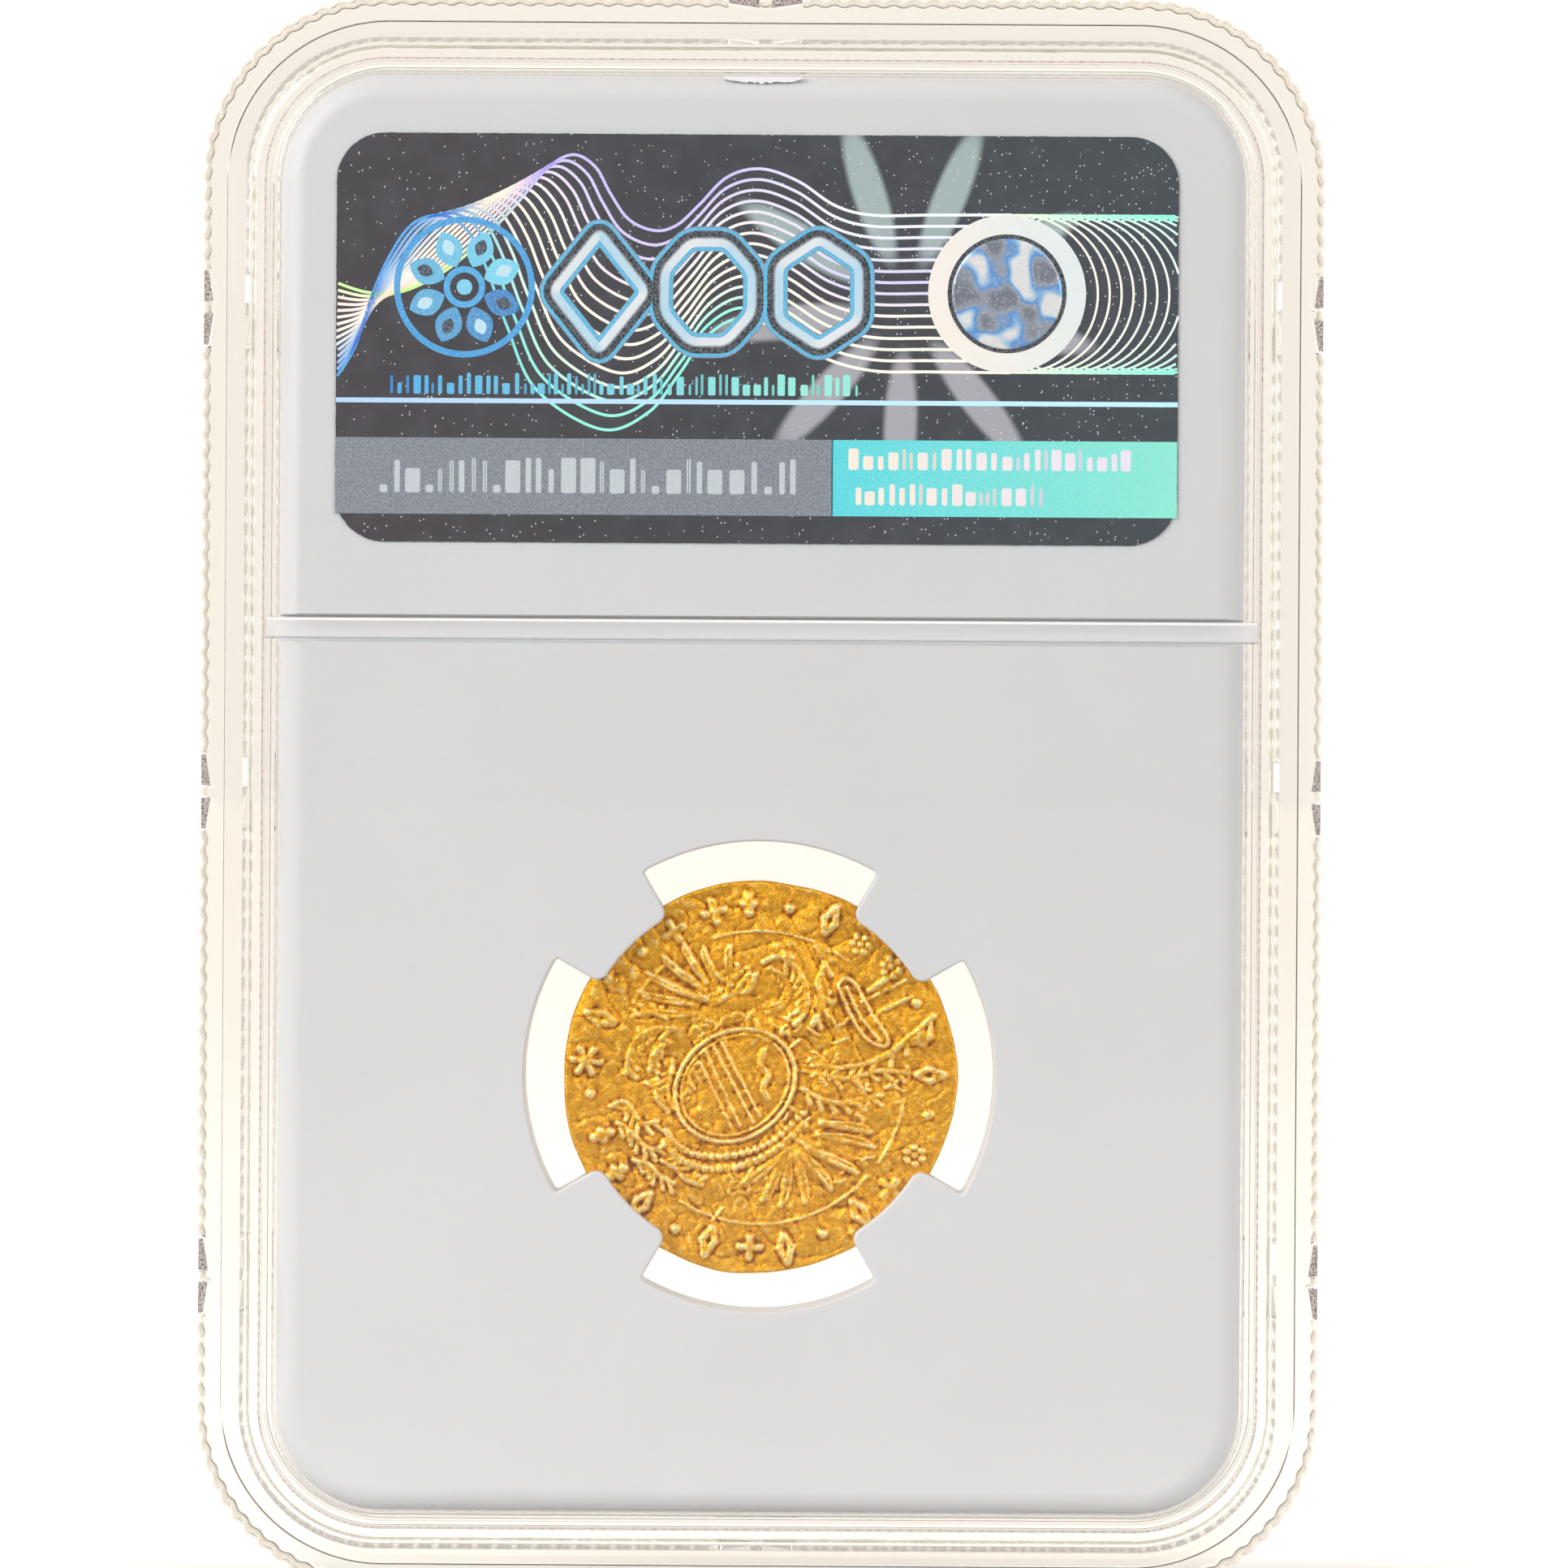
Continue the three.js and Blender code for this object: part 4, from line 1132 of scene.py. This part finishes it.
def security_marks():
    """The bands, ring, frames, rosette and rows of plain ticks printed over the wave lines."""
    print_ = Print(REAR, LABEL_X, LABEL_Z)
    random = np.random.default_rng(5)
    low, high = MARK_LEVELS
    # grey and cyan bands, with their rows of ticks
    print_.shape(on_label(rounded_bar(13.4, 18.45, 26.74, 4.1, 0.01)), low, high, (0.205, 0.235, 0.275))
    cyan = on_label(rounded_bar(35.97, 18.45, 18.58, 4.1, 0.01))
    print_.shape(cyan, low, high, mixed(CYAN, MINT, (cyan[:, 0] - cyan[:, 0].min()) / np.ptp(cyan[:, 0])))
    raised = (high, high + 0.004)
    tick_row(print_, random, 2.4, 25.0, 19.35, [0.22, 0.3, 0.42, 0.8], [1.3, 1.75, 1.9], (0.24, 0.4), 0.13,
             raised, lambda x: (0.56, 0.62, 0.66), dot=0.42)
    for foot, start, end in ((18.0, 27.6, 42.6), (19.9, 28.0, 38.3)):
        tick_row(print_, random, start, end, foot, [0.17, 0.3, 0.55], [0.75, 0.95, 1.15], (0.17, 0.3), 0.13,
                 raised, lambda x: mixed((0.97, 0.88, 0.75), (0.86, 0.80, 0.98), (x - 28) / 15))
    # a row of ticks above the rule
    tick_row(print_, random, 2.95, 28.0, 14.05, [0.13, 0.22, 0.4], [0.6, 1.0, 1.15], (0.15, 0.28), 0.09,
             (low, high), lambda x: mixed((0.02, 0.42, 0.85), (0.30, 0.88, 0.76), (x - 3) / 22))
    # ring and its black liner
    circle = oval(0, 0, 1, steps=96)
    turn = 2 * np.pi * np.arange(96) / 96
    silver = mixed((0.80, 0.88, 0.88), (0.96, 0.90, 0.82), 0.5 - 0.5 * np.cos(turn + 0.3))
    print_.line(on_label(RING + 3.72 * circle), 1.05, low, high + 0.002, silver, closed=True)
    print_.line(on_label(RING + 3.09 * circle), 0.22, low, high + 0.004, (0.008, 0.008, 0.012), closed=True)
    label_rosette(print_, np.array([6.9, 8.3]), circle)
    # three chrome frames
    for corners in (polygon(14.15, 8.5, 2.75, 3.45, 4, 0, 0.14), polygon(20.0, 8.5, 2.75, 3.1, 8, 22.5, 0.25),
                    polygon(25.95, 8.5, 2.7, 3.1, 6, 30, 0.2)):
        chrome_frame(print_, corners)
    return print_


def foil_ink(name, roughness, metallic, painted_glow):
    """Ink with a fine screen of dots, colours from the ink attribute, and a glow in its own colour that is
    painted light for the foil's shine.
    """
    m = Material(name)
    ink = m.add("ShaderNodeAttribute", attribute_name="ink").outputs["Color"]
    grain = m.noise(0.12, 2.0)
    shaded = m.blend(m.spread(grain, 0.0, 0.35, 0.35, 0.75), ink, (0.75, 0.82, 0.85))
    dots = m.add("ShaderNodeTexVoronoi", {"Vector": m.place}, Scale=1 / (0.14 * MM), Randomness=0.0)
    screened = m.blend(m.spread(dots.outputs["Distance"], 0.0, 0.22, 0.25, 0.6), shaded, ink, "MULTIPLY")
    m.drive(Base_Color=screened, Emission_Color=ink, Roughness=m.spread(grain, roughness, roughness + 0.2))
    m.set(Metallic=metallic, Emission_Strength=painted_glow)
    m.bump(grain, 0.002)
    return m.material


def soft_patch(m, u, v, radius_u, radius_v, turn, fade=0.36):
    """A mask of a soft-edged oval on the rear label, placed right and down from its corner."""
    middle = on_label([(u, v)])[0]
    spot = m.add("ShaderNodeMapping", {0: m.place}, vector_type="TEXTURE")
    spot.inputs["Location"].default_value = ((LABEL_X + middle[0]) * MM, 0, (LABEL_Z + middle[1]) * MM)
    spot.inputs["Rotation"].default_value = (0, math.radians(turn), 0)
    spot.inputs["Scale"].default_value = (radius_u * MM, 1000, radius_v * MM)
    ball = m.add("ShaderNodeTexGradient", {0: spot.outputs[0]}, gradient_type="SPHERICAL")
    return m.spread(ball.outputs["Fac"], 0.0, 1.0, 0.0, fade, smooth=True)


# A large pale flower behind the wave lines
FLOWER, PETALS, PETAL_PLACE, PETAL_HALVES, PETAL_TURN = (30.6, 9.2), 9, 6.4, (4.6, 1.05), 12


def dark_foil():
    """Dark foil with bright specks that are painted glints, and a large pale flower."""
    m = Material("dark_security_foil")
    split = m.add("ShaderNodeSeparateXYZ", {0: m.place})
    across = m.spread(split.outputs["X"], 0.0, 1.0, (LABEL_X - 22) * MM, (LABEL_X + 22) * MM)
    base = m.ramp(across, [(0.0, (0.066, 0.060, 0.070)), (0.5, (0.060, 0.062, 0.074)),
                           (1.0, (0.060, 0.074, 0.092))])
    base = m.blend(m.spread(m.noise(1.6, 4.0), 0.0, 0.35, 0.45, 0.8), base, (0.11, 0.13, 0.155))
    for turn in PETAL_TURN + 360 / PETALS * np.arange(PETALS):
        u, v = (middle + PETAL_PLACE * part for middle, part in
                zip(FLOWER, (math.cos(math.radians(turn)), math.sin(math.radians(turn)))))
        mask = m.math("MULTIPLY", soft_patch(m, u, v, *PETAL_HALVES, turn), 0.62)
        base = m.blend(mask, base, (0.66, 0.84, 0.83) if v < FLOWER[1] else (0.72, 0.72, 0.80))
    # Bright specks are painted glints: white dots in the base colour, more of them towards the right.
    cells = m.add("ShaderNodeTexVoronoi", {"Vector": m.place}, Scale=1 / (0.2 * MM))
    chance = m.add("ShaderNodeSeparateColor", {0: cells.outputs["Color"]}).outputs[0]
    share = m.math("MULTIPLY", across, 0.14)
    lit = m.math("GREATER_THAN", m.math("ADD", chance, share), 0.86)
    painted_glint = m.math("MULTIPLY", m.math("LESS_THAN", cells.outputs["Distance"], 0.2), lit)
    m.drive(Base_Color=m.blend(painted_glint, base, (0.85, 0.88, 0.9)),
            Roughness=m.spread(m.noise(0.3), 0.34, 0.5))
    m.set(Metallic=0.25, Specular_IOR_Level=0.5)
    m.bump(m.noise(0.09, 3.0), 0.003)
    return m.material


def lens_film():
    """Grey sparkling film with blue and white flares."""
    m = Material("lens_film")
    flare = m.ramp(m.noise(1.9, 1.0), [
        (0.36, (0.24, 0.27, 0.33)), (0.46, (0.40, 0.45, 0.53)), (0.52, (0.13, 0.40, 0.88)),
        (0.56, (0.45, 0.72, 0.98)), (0.60, (0.97, 0.99, 1.0)),
    ])
    cells = m.add("ShaderNodeTexVoronoi", {"Vector": m.place}, Scale=1 / (0.22 * MM))
    glint = m.spread(cells.outputs["Distance"], 0.55, 0.0, 0.0, 0.45)
    m.drive(Base_Color=m.blend(glint, flare, (0.75, 0.80, 0.88)), Roughness=m.spread(m.noise(0.3), 0.2, 0.4))
    m.set(Metallic=0.3)
    m.bump(m.noise(0.2, 3.0), 0.004)
    return m.material


def lens_disc():
    """A low dome of film inside the ring."""
    middle = np.array([LABEL_X, LABEL_Z]) + on_label([RING])[0]
    dome = (  # radius, level
        (2.98, 1.805), (2.98, 1.812), (2.8, 1.817), (2.2, 1.824), (1.4, 1.83), (0.6, 1.833), (0.1, 1.834))
    loops = [level_loop(oval(*middle, radius, steps=72), level, REAR) for radius, level in dome]
    return loft("lens_film_disc", loops, LENS)


def card_plate(name, side, x, z, width, height, corner, thickness, material, teeth=0.0):
    """A thin plate on the core. teeth is how far the fine cut teeth of its edge go in."""
    points, outward = corner_box(x - width / 2, x + width / 2, z - height / 2, z + height / 2, corner)
    if teeth:
        dense, normals = [], []
        for a, b, n, m in zip(points, np.roll(points, -1, 0), outward, np.roll(outward, -1, 0)):
            steps = max(1, int(np.linalg.norm(b - a) / TOOTH_PITCH))
            t = np.linspace(0, 1, steps, endpoint=False)[:, None]
            dense.append(a + (b - a) * t)
            normals.append(n + (m - n) * t)
        points, outward = np.concatenate(dense), np.concatenate(normals)
        jag = np.random.default_rng(3).uniform(0, teeth, len(points))
        points = points - outward * jag[:, None]
    soft = 0.015  # size of the small slope round its face
    rows = ((0, 0), (0, thickness - soft), (soft, thickness))
    loops = [level_loop(points - inset * outward, CORE_LEVEL + up, side) for inset, up in rows]
    return loft(name, loops, material)


def card_stock():
    m = Material("card_stock")
    fibre = m.add("ShaderNodeMapping", {0: m.place})
    fibre.inputs["Scale"].default_value = (1.0, 1.0, 4.0)
    grain = m.noise(0.25, 4.0, fibre.outputs[0])
    m.drive(Base_Color=m.ramp(grain, [(0.3, (0.80, 0.79, 0.76)), (0.7, (0.86, 0.85, 0.82))]),
            Roughness=m.spread(grain, 0.55, 0.75))
    m.bump(grain, 0.004)
    return m.material


def card_marks():
    """Plain rows, a border, a bar pattern and a rosette on the front card."""
    print_ = Print(FRONT, 0, CARD_Z)
    random = np.random.default_rng(9)
    navy, grey, gold = (0.03, 0.05, 0.13), (0.16, 0.17, 0.2), (0.55, 0.36, 0.10)
    border = corner_box(-22.9, 22.9, -10.4, 10.4, 0.7)[0]
    print_.line(border, 0.28, *CARD_MARK_LEVELS, gold, closed=True)
    for v, tall, end, gap in ((6.6, 2.1, 9.5, 0.5), (2.6, 1.5, 4.0, 0.4), (-0.6, 1.1, 7.5, 0.35),
                              (-3.4, 1.1, 1.5, 0.35)):
        u = -20.6
        while u < end:
            wide = tall * random.choice([0.35, 0.55, 0.8])
            bar = rounded_bar(u + wide / 2, v, wide, tall * random.choice([0.75, 1.0]), 0.12)
            print_.shape(bar, *CARD_MARK_LEVELS, navy if tall > 1.2 else grey)
            u += wide + gap * random.uniform(0.7, 1.1)
    u = -20.6
    while u < 0.5:
        wide = random.choice([0.18, 0.3, 0.5])
        print_.shape(rounded_bar(u + wide / 2, -7.5, wide, 3.2, 0.02), *CARD_MARK_LEVELS, (0.01, 0.01, 0.012))
        u += wide + random.choice([0.2, 0.34, 0.5])
    heart = np.array([15.6, 0.8])
    for radius, width in ((5.9, 0.42), (5.2, 0.16), (1.3, 0.4)):
        print_.line(oval(*heart, radius, steps=96), width, *CARD_MARK_LEVELS, gold, closed=True)
    for k in range(12):
        leaf, _ = petal(heart, 2 * np.pi * k / 12, 1.7, 3.2, 0.62)
        print_.shape(leaf, *CARD_MARK_LEVELS, navy if k % 2 else gold)
    return print_


# ---------------------------------------------------------------- stage, lights and camera

def set_world():
    """White studio air behind the slab, dimmer on the label's side and dark round the camera."""
    world = bpy.data.worlds.new("studio_air")
    bpy.context.scene.world = world
    world.use_nodes = True
    air = Nodes(world.node_tree)
    place = air.add("ShaderNodeTexCoord").outputs["Generated"]
    back = air.add("ShaderNodeSeparateXYZ", {0: place}).outputs["Y"]
    stops = [(0.5 + toward_back / 2, [c / AIR_STRENGTH for c in colour]) for toward_back, colour in AIR]
    background = air.nodes["Background"]
    air.links.new(air.ramp(air.spread(back, 0.0, 1.0, -1.0), stops), background.inputs["Color"])
    background.inputs["Strength"].default_value = AIR_STRENGTH


def floor():
    """A pale table top that glows softly behind the slab, like a lit light table; the glow dims close round
    the slab as a painted contact shadow.
    """
    points = [(-1, -1), (1, -1), (1, 1), (-1, 1)]
    reach = 12000
    table = new_piece("floor", [(x * reach, y * reach, 0) for x, y in points], [[0, 1, 2, 3]], PLAIN)
    m = Material("pale_table")
    m.set(Roughness=0.8, Emission_Color=(*BACK_TINT, 1))
    split = m.add("ShaderNodeSeparateXYZ", {0: m.place})
    pale = m.ramp(m.noise(40.0), [(0.3, (0.71, 0.71, 0.71)), (0.7, (0.74, 0.74, 0.74))])
    far, near = (0.26, 0.26, 0.26), (0.30, 0.30, 0.30)
    front = m.blend(m.spread(split.outputs["Y"], 0.0, 1.0, -3.0, -0.5), far, near)
    by_slab = m.spread(split.outputs["Y"], 0.0, 1.0, -0.12, -0.005, smooth=True)
    m.drive(Base_Color=m.blend(by_slab, front, pale))
    glow = m.spread(split.outputs["Y"], 0.0, FLOOR_GLOW, -0.012, 0.03, smooth=True)
    # Within 20 mm of the slab's footprint the glow drops to 0.3 of itself: a painted contact shadow.
    beyond = [m.math("MAXIMUM", m.math("SUBTRACT", m.math("ABSOLUTE", split.outputs[axis]), half * MM), 0.0)
              for axis, half in (("X", WIDTH / 2 - 2), ("Y", 2))]
    away = m.math("SQRT", m.math("ADD", *(m.math("MULTIPLY", b, b) for b in beyond)))
    m.drive(Emission_Strength=m.math("MULTIPLY", glow, m.spread(away, 0.3, 1.0, 0.0, 0.02, smooth=True)))
    table.data.materials[0] = m.material


def softbox(name, place, aim, size, power):
    """A rectangular lamp that points at aim, in metres and watts."""
    light = bpy.data.lights.new(name, "AREA")
    light.shape, light.size, light.size_y, light.energy = "RECTANGLE", size[0], size[1], power
    lamp = new_object(name, light)
    lamp.location = place
    lamp.rotation_euler = (Vector(aim) - Vector(place)).to_track_quat("-Z", "Y").to_euler()


def camera():
    """Looks square at the label's side from CAMERA_PLACE."""
    data = bpy.data.cameras.new("camera")
    data.lens, data.sensor_width = 150, 36
    data.clip_start, data.clip_end = 0.01, 100
    eye = new_object("camera", data)
    eye.location = Vector(CAMERA_PLACE) * MM
    eye.rotation_mode = "QUATERNION"
    level = Quaternion((1, 0, 0), math.pi / 2)
    eye.rotation_quaternion = level @ Quaternion((0, 0, 1), math.radians(CAMERA_ROLL))
    bpy.context.scene.camera = eye


# ---------------------------------------------------------------- assembly

PLAIN = bpy.data.materials.new("plain")
SHELL = clear_plastic("clear_shell_plastic", (1.0, 0.998, 0.996), (0.72, 0.64, 0.57), 64.0, 0.012, 0.003, 5.0)
BEAD = clear_plastic("clear_melted_plastic", (0.80, 0.78, 0.66), (0.5, 0.5, 0.3), 400.0, 0.2, 0.02, 0.3)
BAR = clear_plastic("clear_bar_plastic", (1.0, 1.0, 1.0), (0.9, 0.9, 0.9), 5.0, 0.02, 0.002, 2.0, milk=0.45)
# Opaque pink for the beaded strand: a painted reflection of the edge ribs.
PINK_RIB_REFLECTION_PAINT = rough_plastic("pink_painted_rib_reflection", (0.50, 0.36, 0.32), (0.72, 0.56, 0.50), 0.15)
# Mottled grey-brown painted shade inside the notches.
NOTCH_SHADE_PAINT = rough_plastic("painted_notch_shade_plastic", (0.16, 0.12, 0.10), (0.60, 0.53, 0.49), 0.12)
# White for the gate scar and for the bar's painted highlights; grey for the bar's painted shade.
WHITE_AND_PAINTED_HIGHLIGHT = rough_plastic("white_scar_and_bar_painted_highlight", (0.92, 0.92, 0.93), (0.96, 0.96, 0.96), 0.5)
PAINTED_SHADE_GREY = rough_plastic("bar_painted_shade_grey", (0.34, 0.33, 0.34), (0.5, 0.49, 0.5), 0.5)
WHITE = core_plastic()
GOLD = gold_with_painted_light()
FOIL, LENS, CARD = dark_foil(), lens_film(), card_stock()
# The last number is the strength of the ink's painted glow.
RAINBOW = foil_ink("rainbow_foil_ink", 0.25, 0.1, 0.32)
COLOURED = foil_ink("coloured_foil_ink", 0.22, 0.2, 0.2)
CARD_INK = foil_ink("card_ink", 0.5, 0.0, 0.0)


def ride(piece):
    """Every piece rides with the slab: nothing in it moves."""
    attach(piece, "root")


def fit(piece, node, flat=True):
    """The piece stands for a CAD node."""
    if flat:
        flatten_shading(piece)
    ride(piece)
    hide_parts(node)


camera()
bpy.context.scene.view_settings.view_transform = "Standard"
set_world()
floor()
softbox("key_left", (-0.42, -0.30, 0.28), (0, 0, 0.045), (0.35, 0.30), 2.5)
softbox("fill_right", (0.45, -0.38, 0.26), (0, 0, 0.045), (0.30, 0.30), 1.4)

fit(rear_shell(), "rear_shell")
fit(front_shell(), "front_shell")
fit(weld_bead(), "weld_bead")
fit(core(), "core")
fit(divider_bar("rear_bar_clear", REAR), "rear_divider_bar")
fit(divider_bar("front_bar_clear", FRONT), "front_divider_bar")
fit(coin(), "coin", flat=False)
fit(card_plate("security_label_foil", REAR, LABEL_X, LABEL_Z, LABEL_WIDTH, LABEL_HEIGHT, LABEL_CORNER,
               LABEL_THICKNESS, FOIL, LABEL_TEETH), "security_label")
fit(card_plate("name_card_stock", FRONT, 0, CARD_Z, CARD_WIDTH, CARD_HEIGHT, CARD_CORNER,
               CARD_THICKNESS, CARD), "name_card")
ride(security_lines().piece("security_label_lines", RAINBOW))
ride(security_marks().piece("security_label_marks", COLOURED))
ride(lens_disc())
ride(card_marks().piece("name_card_marks", CARD_INK))
ride(notch_painted_shade())
ride(gate_stub())
